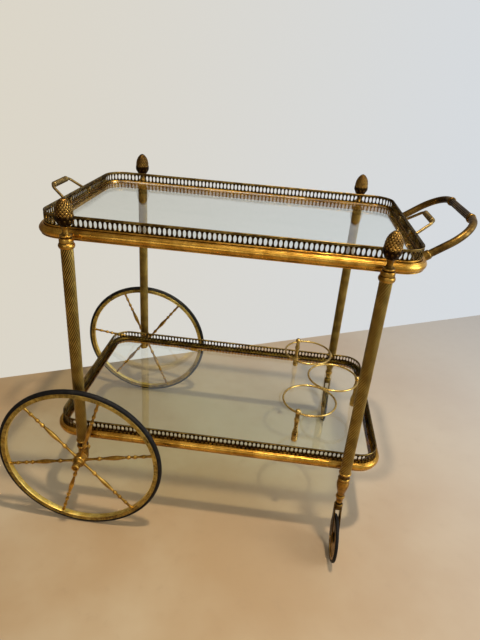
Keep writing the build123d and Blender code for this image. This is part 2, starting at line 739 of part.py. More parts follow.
ball_base = RACK_LEG_TOP - RACK_BALL_R - sqrt(RACK_BALL_R**2 - RACK_NECK_R**2)
outward_turn = atan2(52.5, -25.6)
leg_reach_x = RING_R * cos(outward_turn)
leg_reach_y = RING_R * sin(outward_turn)
front_ring, back_ring, end_ring = RING_CENTRES
leg_places = (
    (front_ring[1] + leg_reach_x, front_ring[2] - leg_reach_y),
    (back_ring[1] + leg_reach_x, back_ring[2] + leg_reach_y),
    (end_ring[1] + RING_R, end_ring[2]),
)
with BuildPart() as rack_legs:
    for x, y in leg_places:
        with BuildSketch(at_post(x, y)):
            with BuildLine():
                Polyline((0, RACK_LEG_TOP), (0, shelf_top), (RACK_FOOT_R - 0.6, shelf_top))
                ThreePointArc(
                    (RACK_FOOT_R - 0.6, shelf_top),
                    (RACK_FOOT_R, shelf_top + 4.0),
                    (RACK_FOOT_R - 0.4, shelf_top + 8.0),
                )
                ThreePointArc(
                    (RACK_FOOT_R - 0.4, shelf_top + 8.0),
                    (RACK_FOOT_R - 0.4, shelf_top + 21.0),
                    (RACK_WAIST_R + 0.2, shelf_top + 31.0),
                )
                ThreePointArc(
                    (RACK_WAIST_R + 0.2, shelf_top + 31.0),
                    (RACK_WAIST_R, shelf_top + 38.0),
                    (RACK_BEAD_R - 1.0, shelf_top + 50.0),
                )
                ThreePointArc(
                    (RACK_BEAD_R - 1.0, shelf_top + 50.0),
                    (RACK_BEAD_R, shelf_top + 55.0),
                    (RACK_BEAD_R - 1.0, shelf_top + 60.0),
                )
                Polyline(
                    (RACK_BEAD_R - 1.0, shelf_top + 60.0),
                    (RACK_NECK_R, shelf_top + 63.0),
                    (RACK_NECK_R, ball_base),
                )
                dome(RACK_NECK_R, ball_base, RACK_LEG_TOP)
            make_face()
        revolve(axis=post_axis(x, y))
    add(rings, mode=Mode.SUBTRACT)
rack_legs.part.label = "rack_legs"
export_step(rack_legs.part, "parts/rack_legs.step")


# ---------------------------------------------------------------- large wheels
rim_out = WHEEL_R - TYRE_DEPTH
rim_in = rim_out - RIM_DEPTH
nose_floor = HUB_OUTER_Y - AXLE_HEAD_RECESS
for side_name, side in SIDES:
    wheel_plane = Plane(origin=(-POST_X, 0, WHEEL_R), x_dir=(1, 0, 0), z_dir=(0, 0, 1))
    wheel_axis = Axis((-POST_X, 0, WHEEL_R), (0, 1, 0))
    mid = side * WHEEL_MID_Y

    with BuildPart() as tyre:
        with BuildSketch(wheel_plane):
            with BuildLine():
                Polyline(
                    (WHEEL_R - TYRE_CROWN, mid - TYRE_HALF_WIDTH),
                    (rim_out, mid - TYRE_HALF_WIDTH),
                    (rim_out, mid + TYRE_HALF_WIDTH),
                    (WHEEL_R - TYRE_CROWN, mid + TYRE_HALF_WIDTH),
                )
                ThreePointArc(
                    (WHEEL_R - TYRE_CROWN, mid + TYRE_HALF_WIDTH),
                    (WHEEL_R, mid),
                    (WHEEL_R - TYRE_CROWN, mid - TYRE_HALF_WIDTH),
                )
            make_face()
        revolve(axis=wheel_axis)
    tyre.part.label = f"wheel_tyre_{side_name}"
    export_step(tyre.part, f"parts/wheel_tyre_{side_name}.step")

    with BuildPart() as rim:
        with BuildSketch(wheel_plane):
            with BuildLine():
                Polyline(
                    (rim_in + RIM_CROWN, mid - RIM_HALF_WIDTH),
                    (rim_out, mid - RIM_HALF_WIDTH),
                    (rim_out, mid + RIM_HALF_WIDTH),
                    (rim_in + RIM_CROWN, mid + RIM_HALF_WIDTH),
                )
                ThreePointArc(
                    (rim_in + RIM_CROWN, mid + RIM_HALF_WIDTH),
                    (rim_in, mid),
                    (rim_in + RIM_CROWN, mid - RIM_HALF_WIDTH),
                )
            make_face()
        revolve(axis=wheel_axis)
    rim.part.label = f"wheel_rim_{side_name}"
    export_step(rim.part, f"parts/wheel_rim_{side_name}.step")

    with BuildPart() as hub:
        with BuildSketch(wheel_plane):
            with BuildLine():
                Polyline(
                    (HUB_NOSE_R, side * (HUB_OUTER_Y - 1)),
                    (HUB_NOSE_R - 1, side * HUB_OUTER_Y),
                    (AXLE_HEAD_R + 0.4, side * HUB_OUTER_Y),
                    (AXLE_HEAD_R + 0.4, side * nose_floor),
                    (AXLE_R + AXLE_CLEARANCE, side * nose_floor),
                    (AXLE_R + AXLE_CLEARANCE, side * HUB_INNER_Y),
                    (10.0, side * HUB_INNER_Y),
                    (HUB_R, side * (HUB_INNER_Y + 2.5)),
                    (HUB_R, side * HUB_SHOULDER_Y),
                    (HUB_R - 2, side * (HUB_SHOULDER_Y + 2)),
                )
                ThreePointArc(
                    (HUB_R - 2, side * (HUB_SHOULDER_Y + 2)),
                    (HUB_NOSE_R + 0.9, side * (HUB_SHOULDER_Y + 4.5)),
                    (HUB_NOSE_R, side * (HUB_SHOULDER_Y + 9)),
                )
                Line(
                    (HUB_NOSE_R, side * (HUB_SHOULDER_Y + 9)),
                    (HUB_NOSE_R, side * (HUB_OUTER_Y - 1)),
                )
            make_face()
        revolve(axis=wheel_axis)
    hub.part.label = f"wheel_hub_{side_name}"
    export_step(hub.part, f"parts/wheel_hub_{side_name}.step")

    with BuildPart() as spokes:
        hub_centre = Vector(-POST_X, mid, WHEEL_R)
        spoke_length = rim_in - HUB_R
        spoke_points = [
            (HUB_R + fraction * spoke_length, radius) for fraction, radius in SPOKE_TURNING
        ]
        for spoke in range(SPOKES):
            turn = radians(SPOKE_PHASE[side_name] + spoke * 360 / SPOKES)
            along = Vector(cos(turn), 0, sin(turn))
            spoke_plane = Plane(
                origin=hub_centre, x_dir=along, z_dir=along.cross(Vector(0, 1, 0))
            )
            with BuildSketch(spoke_plane):
                with BuildLine():
                    turning = Spline(*spoke_points)
                    Polyline(
                        turning @ 1,
                        (rim_in + 1.0, SPOKE_TURNING[-1][1]),
                        (rim_in + 1.0, 0),
                        (HUB_R - 2.0, 0),
                        (HUB_R - 2.0, SPOKE_TURNING[0][1]),
                        turning @ 0,
                    )
                make_face()
            revolve(axis=Axis(hub_centre, along))
        add(hub.part, mode=Mode.SUBTRACT)
        add(rim.part, mode=Mode.SUBTRACT)
    spokes.part.label = f"wheel_spokes_{side_name}"
    export_step(spokes.part, f"parts/wheel_spokes_{side_name}.step")

    with BuildPart() as axle:
        with BuildSketch(wheel_plane):
            with BuildLine():
                Polyline(
                    (0, side * (POST_Y - 19.0)),
                    (AXLE_R, side * (POST_Y - 19.0)),
                    (AXLE_R, side * (POST_Y + 6.0)),
                    (6.5, side * (POST_Y + 6.0)),
                    (6.5, side * (HUB_INNER_Y - 0.4)),
                    (AXLE_R, side * (HUB_INNER_Y - 0.4)),
                    (AXLE_R, side * (nose_floor + 0.3)),
                    (AXLE_HEAD_R, side * (nose_floor + 0.3)),
                    (AXLE_HEAD_R, side * (nose_floor + 2.6)),
                    (AXLE_HEAD_R - 1, side * (nose_floor + 3.3)),
                    (0, side * (nose_floor + 3.3)),
                    close=True,
                )
            make_face()
        revolve(axis=wheel_axis)
        add(feet[side_name], mode=Mode.SUBTRACT)
    axle.part.label = f"wheel_axle_{side_name}"
    export_step(axle.part, f"parts/wheel_axle_{side_name}.step")

with BuildPart() as cap_nuts:
    for side_name, side in SIDES:
        with BuildSketch(wheel_plane):
            with BuildLine():
                nut_end = POST_Y - 27.0
                Polyline(
                    (AXLE_R, side * (POST_Y - 6.0)),
                    (7.0, side * (POST_Y - 6.0)),
                    (7.0, side * (POST_Y - 19.5)),
                )
                dome(7.0, side * (POST_Y - 19.5), side * nut_end)
                Polyline(
                    (0, side * nut_end),
                    (0, side * (POST_Y - 19.0)),
                    (AXLE_R, side * (POST_Y - 19.0)),
                    (AXLE_R, side * (POST_Y - 6.0)),
                )
            make_face()
        revolve(axis=wheel_axis)
        add(feet[side_name], mode=Mode.SUBTRACT)
cap_nuts.part.label = "axle_cap_nuts"
export_step(cap_nuts.part, "parts/axle_cap_nuts.step")


# ---------------------------------------------------------------- casters
for side_name, side in SIDES:
    y = side * POST_Y
    hub_y = y - CASTER_TRAIL
    caster_plane = Plane(origin=(POST_X, hub_y, CASTER_R), x_dir=(0, 1, 0), z_dir=(0, 0, 1))
    caster_axis = Axis((POST_X, hub_y, CASTER_R), (1, 0, 0))

    with BuildPart() as stem:
        with BuildSketch(Plane(origin=(POST_X, y, CROWN_LOW_Z))):
            Circle(STEM_R)
        extrude(amount=STEM_TOP_Z - CROWN_LOW_Z)
        chamfer(stem.edges().group_by(Axis.Z)[-1], length=1.0)
    stem.part.label = f"caster_stem_{side_name}"
    export_step(stem.part, f"parts/caster_stem_{side_name}.step")

    with BuildPart() as fork:
        with BuildSketch(at_post(POST_X, y)):
            with BuildLine():
                Polyline(
                    (0, CROWN_LOW_Z),
                    (CROWN_R, CROWN_LOW_Z),
                    (CROWN_R, CROWN_TOP_Z - 3),
                    (CROWN_R - 2, CROWN_TOP_Z),
                    (CROWN_BOSS_R, CROWN_TOP_Z + 1),
                    (CROWN_BOSS_R, CROWN_BOSS_Z),
                    (0, CROWN_BOSS_Z),
                    close=True,
                )
            make_face()
        revolve(axis=post_axis(POST_X, y))
        with BuildSketch(Plane(origin=(POST_X, y, CROWN_LOW_Z))):
            Rectangle(2 * (FORK_INNER + FORK_THICKNESS), FORK_CROWN_WIDTH)
        extrude(amount=CROWN_PLATE_TOP - CROWN_LOW_Z)
        shoulder = FORK_CROWN_WIDTH / 2
        foot = FORK_FOOT_WIDTH / 2
        foot_end_z = CASTER_R - FORK_BELOW_AXLE
        foot_z = foot_end_z + FORK_FOOT_RISE
        for _, end in ENDS:
            arm_plane = Plane(
                origin=(POST_X + end * FORK_INNER, 0, 0), x_dir=(0, 1, 0), z_dir=(1, 0, 0)
            )
            with BuildSketch(arm_plane):
                with BuildLine():
                    Polyline(
                        (hub_y - foot, foot_z),
                        (y - shoulder, CROWN_LOW_Z),
                        (y - shoulder, CROWN_PLATE_TOP),
                        (y + shoulder, CROWN_PLATE_TOP),
                        (y + shoulder, CROWN_LOW_Z),
                        (hub_y + foot, foot_z),
                    )
                    ThreePointArc(
                        (hub_y + foot, foot_z), (hub_y, foot_end_z), (hub_y - foot, foot_z)
                    )
                make_face()
            extrude(amount=end * FORK_THICKNESS)
        with BuildSketch(Plane(origin=(POST_X, y, CROWN_LOW_Z))):
            Circle(STEM_R)
        extrude(amount=CROWN_BOSS_Z - CROWN_LOW_Z, mode=Mode.SUBTRACT)
        with BuildSketch(Plane(origin=(POST_X, hub_y, CASTER_R), z_dir=(1, 0, 0))):
            Circle(CASTER_AXLE_R)
        extrude(amount=2 * FORK_INNER, both=True, mode=Mode.SUBTRACT)
    fork.part.label = f"caster_fork_{side_name}"
    export_step(fork.part, f"parts/caster_fork_{side_name}.step")

    with BuildPart() as caster_axle:
        arm_out = FORK_INNER + FORK_THICKNESS
        with BuildSketch(Plane(origin=(POST_X, hub_y, CASTER_R), z_dir=(1, 0, 0))):
            Circle(CASTER_AXLE_R)
        extrude(amount=arm_out, both=True)
        for _, end in ENDS:
            head_plane = Plane(origin=(POST_X + end * arm_out, hub_y, CASTER_R), z_dir=(end, 0, 0))
            with BuildSketch(head_plane):
                Circle(CASTER_HEAD_R)
            extrude(amount=CASTER_HEAD_THICKNESS)
    caster_axle.part.label = f"caster_axle_{side_name}"
    export_step(caster_axle.part, f"parts/caster_axle_{side_name}.step")

    disc_r = CASTER_R - CASTER_TYRE_DEPTH
    with BuildPart() as disc:
        with BuildSketch(caster_plane):
            with BuildLine():
                bore = CASTER_AXLE_R + STEM_CLEARANCE
                upper = [
                    (bore, CASTER_HUB_HALF_WIDTH),
                    (CASTER_HUB_R, CASTER_HUB_HALF_WIDTH),
                    (CASTER_HUB_R + 2, CASTER_DISC_HALF_WIDTH),
                    (disc_r - 5, CASTER_DISC_HALF_WIDTH),
                    (disc_r - 4, CASTER_HALF_WIDTH),
                    (disc_r, CASTER_HALF_WIDTH),
                ]
                lower = [(radius, -height) for radius, height in reversed(upper)]
                Polyline(*upper, *lower, close=True)
            make_face()
        revolve(axis=caster_axis)
    disc.part.label = f"caster_disc_{side_name}"
    export_step(disc.part, f"parts/caster_disc_{side_name}.step")

    with BuildPart() as caster_tyre:
        with BuildSketch(caster_plane):
            with BuildLine():
                Polyline(
                    (CASTER_R - CASTER_TYRE_CROWN, -CASTER_HALF_WIDTH),
                    (disc_r, -CASTER_HALF_WIDTH),
                    (disc_r, CASTER_HALF_WIDTH),
                    (CASTER_R - CASTER_TYRE_CROWN, CASTER_HALF_WIDTH),
                )
                ThreePointArc(
                    (CASTER_R - CASTER_TYRE_CROWN, CASTER_HALF_WIDTH),
                    (CASTER_R, 0),
                    (CASTER_R - CASTER_TYRE_CROWN, -CASTER_HALF_WIDTH),
                )
            make_face()
        revolve(axis=caster_axis)
    caster_tyre.part.label = f"caster_tyre_{side_name}"
    export_step(caster_tyre.part, f"parts/caster_tyre_{side_name}.step")
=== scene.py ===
"""Looks of the two-tier brass drinks trolley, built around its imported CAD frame.

Pieces are worked out in millimetres. Their meshes, the floor, the lights and the camera are in
metres. A piece's place comes from the CAD node that it stands for.
"""

import json
from math import atan2, ceil, cos, hypot, pi, radians, sin

import bmesh
import bpy
import numpy as np
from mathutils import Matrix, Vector


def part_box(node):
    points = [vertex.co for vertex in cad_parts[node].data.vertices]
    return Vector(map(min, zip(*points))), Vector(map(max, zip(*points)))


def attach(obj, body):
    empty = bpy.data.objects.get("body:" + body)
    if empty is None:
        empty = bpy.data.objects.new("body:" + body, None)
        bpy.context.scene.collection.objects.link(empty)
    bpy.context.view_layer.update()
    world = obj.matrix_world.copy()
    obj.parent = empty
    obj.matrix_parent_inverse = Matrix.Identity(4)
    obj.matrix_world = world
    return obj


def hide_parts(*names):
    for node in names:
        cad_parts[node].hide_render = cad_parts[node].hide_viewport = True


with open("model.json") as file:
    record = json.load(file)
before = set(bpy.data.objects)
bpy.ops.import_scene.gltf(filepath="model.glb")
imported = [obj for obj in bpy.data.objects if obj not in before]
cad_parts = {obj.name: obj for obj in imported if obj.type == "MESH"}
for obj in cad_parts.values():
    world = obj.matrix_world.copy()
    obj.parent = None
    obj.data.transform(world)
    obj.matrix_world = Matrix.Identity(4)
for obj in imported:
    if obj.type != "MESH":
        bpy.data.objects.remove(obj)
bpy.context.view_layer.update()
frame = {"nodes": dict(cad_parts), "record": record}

scene = bpy.context.scene
MM = 0.001
MERGE_DISTANCE = 2e-6
SIDES = {"front": -1, "back": 1}
ENDS = {"left": -1, "right": 1}

record = frame["record"]
body_of = {node: body for body, nodes in record["behaviour"]["bodies"].items() for node in nodes}
slot_of = {row["node"]: row["material_slot"] for row in record["subparts"]}


def box_mm(node):
    low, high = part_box(node)
    return np.array(low) / MM, np.array(high) / MM


def centre_mm(node):
    low, high = box_mm(node)
    return (low + high) / 2


# ---- materials
def socket_of(tree, node, key, value):
    """Sets an input, or links it when the value is another node's output."""
    if isinstance(value, bpy.types.NodeSocket):
        tree.links.new(value, node.inputs[key])
    else:
        node.inputs[key].default_value = value


def noise(tree, coords, scale, detail, rough, stretch=None):
    if stretch:
        mapping = tree.nodes.new("ShaderNodeMapping")
        mapping.inputs["Scale"].default_value = stretch
        tree.links.new(coords, mapping.inputs["Vector"])
        coords = mapping.outputs["Vector"]
    node = tree.nodes.new("ShaderNodeTexNoise")
    node.inputs["Scale"].default_value = scale
    node.inputs["Detail"].default_value = detail
    node.inputs["Roughness"].default_value = rough
    tree.links.new(coords, node.inputs["Vector"])
    return node.outputs[0]


def calc(tree, operation, a, b=0.0, c=0.0, clamp=False):
    node = tree.nodes.new("ShaderNodeMath")
    node.operation = operation
    node.use_clamp = clamp
    for key, value in enumerate((a, b, c)):
        socket_of(tree, node, key, value)
    return node.outputs[0]


def ramp(tree, value, low, high, out_low=0.0, out_high=1.0):
    node = tree.nodes.new("ShaderNodeMapRange")
    node.interpolation_type = "SMOOTHSTEP"
    limits = {"From Min": low, "From Max": high, "To Min": out_low, "To Max": out_high}
    for key, number in limits.items():
        node.inputs[key].default_value = number
    tree.links.new(value, node.inputs["Value"])
    return node.outputs[0]


def blend_colour(tree, factor, a, b):
    node = tree.nodes.new("ShaderNodeMix")
    node.data_type = "RGBA"
    socket_of(tree, node, 0, factor)
    for key, value in ((6, a), (7, b)):
        value = value if isinstance(value, bpy.types.NodeSocket) else (*value, 1.0)
        socket_of(tree, node, key, value)
    return node.outputs[2]


def bump(tree, shader, height, distance):
    node = tree.nodes.new("ShaderNodeBump")
    node.inputs["Strength"].default_value = 1.0
    node.inputs["Distance"].default_value = distance
    tree.links.new(height, node.inputs["Height"])
    tree.links.new(node.outputs["Normal"], shader.inputs["Normal"])


materials = {}


def new_material(name):
    material = materials[name] = bpy.data.materials.new(name)
    material.use_nodes = True
    tree = material.node_tree
    coords = tree.nodes.new("ShaderNodeTexCoord").outputs["Object"]
    return tree, tree.nodes["Principled BSDF"], coords


def surface(tree, shader, colour, rough):
    tree.links.new(colour, shader.inputs["Base Color"])
    tree.links.new(rough, shader.inputs["Roughness"])


GRIME_TO_PATCH = 7
TONE_TO_PATCH = 2.3
GRAIN_SCALE = 1500.0
SPOT_SCALE = 420.0
SPOT_COLOUR = (0.03, 0.018, 0.008)
BRASS_BUMP = 0.00006


def aged_brass(name, bright, warm, dark, tarnish, groove_shade_and_tarnish, gloss, patch=24.0, specks=0.5):
    """Old polished brass: brown in patches, darker in recesses as tarnish there and as painted
    shade, gold where rubbed, with dark specks.
    """
    tree, shader, coords = new_material(name)
    relief = tree.nodes.new("ShaderNodeAttribute")
    relief.attribute_name = "relief"
    patches = noise(tree, coords, patch, 4.0, 0.6)
    grime = noise(tree, coords, patch * GRIME_TO_PATCH, 6.0, 0.65)
    grain = noise(tree, coords, GRAIN_SCALE, 2.0, 0.5)
    spots = ramp(tree, noise(tree, coords, SPOT_SCALE, 2.0, 0.5), 0.64, 0.72)
    tarnish_and_shade = calc(tree, "MULTIPLY_ADD", patches, 1.5, tarnish - 1.35)
    tarnish_and_shade = calc(tree, "MULTIPLY_ADD", grime, 1.2, tarnish_and_shade)
    # painted shade: grooves (relief below 0) turn darker brown on top of their real tarnish, and
    # crests turn lighter
    tarnish_and_shade = calc(tree, "MULTIPLY_ADD", relief.outputs["Fac"], -groove_shade_and_tarnish, tarnish_and_shade, clamp=True)
    tone = ramp(tree, noise(tree, coords, patch * TONE_TO_PATCH, 3.0, 0.5), 0.35, 0.65)
    colour = blend_colour(tree, tone, bright, warm)
    colour = blend_colour(tree, tarnish_and_shade, colour, dark)
    colour = blend_colour(tree, calc(tree, "MULTIPLY", spots, specks), colour, SPOT_COLOUR)
    rough = calc(tree, "MULTIPLY_ADD", tarnish_and_shade, 0.26, gloss)
    surface(tree, shader, colour, calc(tree, "MULTIPLY_ADD", grime, 0.10, rough))
    shader.inputs["Metallic"].default_value = 1.0
    height = calc(tree, "MULTIPLY_ADD", grain, 0.25, calc(tree, "MULTIPLY", grime, 0.8))
    height = calc(tree, "MULTIPLY_ADD", spots, -0.5 * specks, height)
    bump(tree, shader, height, BRASS_BUMP)


# bright, warm and dark colour, tarnish, darkening in recesses (tarnish there and painted shade),
# gloss, scale of patches, specks
BRASSES = {
    "turned": ((0.62, 0.36, 0.07), (0.36, 0.185, 0.03), (0.034, 0.016, 0.003), 0.38, 0.9, 0.22),
    "post": ((0.50, 0.34, 0.085), (0.31, 0.20, 0.045), (0.024, 0.013, 0.003), 0.50, 1.35, 0.25),
    "finial": ((0.50, 0.29, 0.065), (0.25, 0.13, 0.03), (0.018, 0.008, 0.002), 0.72, 1.0, 0.27),
    "moulding": ((0.76, 0.43, 0.075), (0.46, 0.225, 0.028), (0.045, 0.020, 0.004), 0.24, 0.8, 0.20,
                 14.0),
    "gallery": ((0.46, 0.31, 0.085), (0.20, 0.12, 0.03), (0.016, 0.008, 0.002), 0.92, 0.85, 0.27),
    # the rim brass is brighter than the other brass: painted light on the rim's lit inner face
    "rim": ((0.88, 0.66, 0.18), (0.72, 0.48, 0.10), (0.07, 0.035, 0.008), 0.20, 0.95, 0.33, 26.0,
            0.95),
    "wheel": ((0.64, 0.38, 0.075), (0.42, 0.22, 0.035), (0.040, 0.020, 0.005), 0.30, 0.75, 0.24,
              26.0, 0.9),
    "handle": ((0.44, 0.26, 0.055), (0.22, 0.12, 0.025), (0.018, 0.009, 0.003), 0.72, 0.5, 0.24,
               18.0),
    "bail": ((0.42, 0.29, 0.10), (0.24, 0.155, 0.05), (0.030, 0.017, 0.005), 0.48, 0.7, 0.27),
    "fittings": ((0.66, 0.45, 0.14), (0.44, 0.27, 0.07), (0.05, 0.028, 0.009), 0.18, 0.7, 0.20),
}
for name, look in BRASSES.items():
    aged_brass(f"brass_{name}", *look)


def steel_material():
    tree, shader, coords = new_material("steel")
    grime = noise(tree, coords, 220.0, 6.0, 0.6)
    brushed = noise(tree, coords, 900.0, 2.0, 0.5, stretch=(1.0, 1.0, 0.08))
    stain = ramp(tree, grime, 0.42, 0.68)
    colour = blend_colour(tree, stain, (0.48, 0.47, 0.45), (0.16, 0.13, 0.10))
    surface(tree, shader, colour, calc(tree, "MULTIPLY_ADD", grime, 0.35, 0.18))
    shader.inputs["Metallic"].default_value = 1.0
    bump(tree, shader, brushed, 0.00005)


def rubber_material():
    tree, shader, coords = new_material("tyre_rubber")
    dust = noise(tree, coords, 60.0, 6.0, 0.65)
    grain = noise(tree, coords, 1300.0, 3.0, 0.6)
    grey = ramp(tree, dust, 0.45, 0.75)
    colour = blend_colour(tree, grey, (0.005, 0.0042, 0.004), (0.018, 0.015, 0.012))
    surface(tree, shader, colour, calc(tree, "MULTIPLY_ADD", dust, 0.3, 0.42))
    shader.inputs["Specular IOR Level"].default_value = 0.15
    bump(tree, shader, grain, 0.00010)


def glass_material():
    """Clear plate glass, a little green, with faint smears; lamps shine straight through it."""
    tree, shader, coords = new_material("clear_glass")
    smears = noise(tree, coords, 9.0, 5.0, 0.6, stretch=(1.0, 2.2, 1.0))
    shader.inputs["Transmission Weight"].default_value = 1.0
    shader.inputs["IOR"].default_value = 1.5
    tint = ramp(tree, smears, 0.3, 0.8)
    colour = blend_colour(tree, tint, (0.93, 0.965, 0.95), (0.90, 0.945, 0.925))
    surface(tree, shader, colour, ramp(tree, smears, 0.50, 0.80, 0.0, 0.05))
    ripple = noise(tree, coords, 5.0, 1.0, 0.4)
    bump(tree, shader, ripple, 0.0006)
    clear = tree.nodes.new("ShaderNodeBsdfTransparent")
    clear.inputs["Color"].default_value = (0.86, 0.91, 0.88, 1.0)
    ray = tree.nodes.new("ShaderNodeLightPath")
    either = tree.nodes.new("ShaderNodeMixShader")
    output = tree.nodes["Material Output"]
    lighting = calc(tree, "MAXIMUM", ray.outputs["Is Shadow Ray"], ray.outputs["Is Diffuse Ray"])
    tree.links.new(lighting, either.inputs[0])
    tree.links.new(shader.outputs[0], either.inputs[1])
    tree.links.new(clear.outputs[0], either.inputs[2])
    tree.links.new(either.outputs[0], output.inputs["Surface"])


steel_material()
rubber_material()
glass_material()


# ---- mesh helpers
def arc(centre, radius, start, end, steps):
    """Points on a circle in a plane, angles in degrees."""
    turns = [radians(start + (end - start) * k / steps) for k in range(steps + 1)]
    return [(centre[0] + radius * cos(t), centre[1] + radius * sin(t)) for t in turns]


def through(a, b, c, steps):
    """Arc through three points, as the CAD's turned outlines use."""
    ax, ay, bx, by, cx, cy = *a, *b, *c
    d = 2 * (ax * (by - cy) + bx * (cy - ay) + cx * (ay - by))
    aa, bb, cc = ax**2 + ay**2, bx**2 + by**2, cx**2 + cy**2
    ux = (aa * (by - cy) + bb * (cy - ay) + cc * (ay - by)) / d
    uy = (aa * (cx - bx) + bb * (ax - cx) + cc * (bx - ax)) / d
    start = atan2(ay - uy, ax - ux)
    middle = (atan2(by - uy, bx - ux) - start) % (2 * pi)
    end = (atan2(cy - uy, cx - ux) - start) % (2 * pi)
    if middle > end:
        end -= 2 * pi
    radius = hypot(ax - ux, ay - uy)
    turns = [start + end * k / steps for k in range(steps + 1)]
    return [(ux + radius * cos(t), uy + radius * sin(t)) for t in turns]


def turned(*runs):
    """An outline of points and of arcs, each arc a list of its three points and its steps."""
    out = []
    for run in runs:
        out += through(*run) if isinstance(run, list) else [run]
    return out


def smooth(points, steps):
    """Catmull-Rom curve through points."""
    p = np.array([points[0], *points, points[-1]], float)
    out = []
    for k in range(1, len(p) - 2):
        a, b, c, d = p[k - 1], p[k], p[k + 1], p[k + 2]
        for s in range(steps):
            t = s / steps
            curve = 2 * b + (c - a) * t + (2 * a - 5 * b + 4 * c - d) * t * t
            curve = curve + (3 * b - a - 3 * c + d) * t**3
            out.append(tuple(0.5 * curve))
    return [*out, tuple(p[-2])]


def relief_of(points, closed, reach=1.6):
    """How far each point stands proud of the outline round it: 1 on a crest, -1 in a groove."""
    p = np.array(points, float)
    ring = np.vstack([p, p[:1]]) if closed else p
    runs = np.linalg.norm(np.diff(ring, axis=0), axis=1)
    length = np.concatenate([[0], np.cumsum(runs)])
    area = 0.5 * np.sum(ring[:-1, 0] * ring[1:, 1] - ring[1:, 0] * ring[:-1, 1])
    offsets = np.linspace(-reach, reach, 13)
    out = []
    for k in range(len(p)):
        at = length[k] + offsets
        at = at % length[-1] if closed else np.clip(at, 0, length[-1])
        near = np.stack([np.interp(at, length, ring[:, c]) for c in (0, 1)], 1)
        tangent = near[8] - near[4]
        normal = np.array([tangent[1], -tangent[0]]) / (np.linalg.norm(tangent) + 1e-9)
        out.append(np.dot(p[k] - near.mean(0), normal) * np.sign(area or 1) / (0.22 * reach))
    return np.clip(out, -1, 1)


def grid_faces(rows, cols, close_rows, close_cols):
    faces = []
    for r in range(rows if close_rows else rows - 1):
        for c in range(cols if close_cols else cols - 1):
            s, d = (r + 1) % rows, (c + 1) % cols
            faces.append((r * cols + c, r * cols + d, s * cols + d, s * cols + c))
    return faces


def axes_for(axis):
    """Two directions square to an axis."""
    axis = np.array(axis, float)
    axis /= np.linalg.norm(axis)
    side = np.cross(axis, (0, 0, 1)) if abs(axis[2]) < 0.9 else np.array((1.0, 0, 0))
    side = side - axis * np.dot(side, axis)
    side /= np.linalg.norm(side)
    return axis, side, np.cross(axis, side)


def lathe(profile, origin=(0, 0, 0), axis=(0, 0, 1), segments=48, closed=False, shape=None):
    """Turns (radius, height) points about an axis. shape(turns) scales the radii round it."""
    profile = np.array(profile, float)
    axis, side, other = axes_for(axis)
    turns = np.linspace(0, 2 * pi, segments, endpoint=False)
    radii = np.repeat(profile[:, :1], segments, 1)
    if shape:
        radii = radii * shape(turns)
    ring = np.cos(turns)[:, None] * side + np.sin(turns)[:, None] * other
    points = np.array(origin) + profile[:, 1][:, None, None] * axis + radii[:, :, None] * ring[None]
    relief = np.repeat(relief_of(profile, closed), segments)
    return points.reshape(-1, 3), grid_faces(len(profile), segments, closed, True), relief


def tube(points, radius, segments, closed=False):
    """A round bar along points; its ends are capped unless it is closed."""
    p = np.array(points, float)
    ahead = np.roll(p, -1, 0) - np.roll(p, 1, 0)
    if not closed:
        ahead[0], ahead[-1] = p[1] - p[0], p[-1] - p[-2]
    ahead /= np.linalg.norm(ahead, axis=1)[:, None]
    _, side, _ = axes_for(ahead[0])
    turns = np.linspace(0, 2 * pi, segments, endpoint=False)
    rings = []
    for k in range(len(p)):
        side = side - ahead[k] * np.dot(side, ahead[k])
        side /= np.linalg.norm(side)
        other = np.cross(ahead[k], side)
        ring = np.cos(turns)[:, None] * side + np.sin(turns)[:, None] * other
        rings.append(p[k] + radius * ring)
    verts = np.concatenate(rings)
    faces = grid_faces(len(p), segments, closed, True)
    if not closed:
        faces.append(tuple(range(segments)))
        faces.append(tuple(range(len(verts) - 1, len(verts) - 1 - segments, -1)))
    return verts, faces, np.full(len(verts), 0.25)


def plate(outline, low, high, edge, place):
    """A flat plate with a small chamfer. The outline is counter-clockwise, and place(a, b, height)
    gives a point."""
    p = np.array(outline, float)
    before, after = p - np.roll(p, 1, 0), np.roll(p, -1, 0) - p
    before /= np.linalg.norm(before, axis=1)[:, None]
    after /= np.linalg.norm(after, axis=1)[:, None]
    inward = np.stack([-(before + after)[:, 1], (before + after)[:, 0]], 1)
    inward /= np.linalg.norm(inward, axis=1)[:, None]
    shrunk = p + inward * edge
    rings = ((shrunk, low), (p, low + edge), (p, high - edge), (shrunk, high))
    verts = np.array([place(x, y, z) for ring, z in rings for x, y in ring])
    count = len(p)
    faces = grid_faces(4, count, False, True)
    faces.append(tuple(range(count - 1, -1, -1)))
    faces.append(tuple(range(3 * count, 4 * count)))
    relief = np.concatenate([np.zeros(count), np.full(2 * count, 0.6), np.zeros(count)])
    return verts, faces, relief


def add_object(name, data):
    made = bpy.data.objects.new(name, data)
    scene.collection.objects.link(made)
    return made


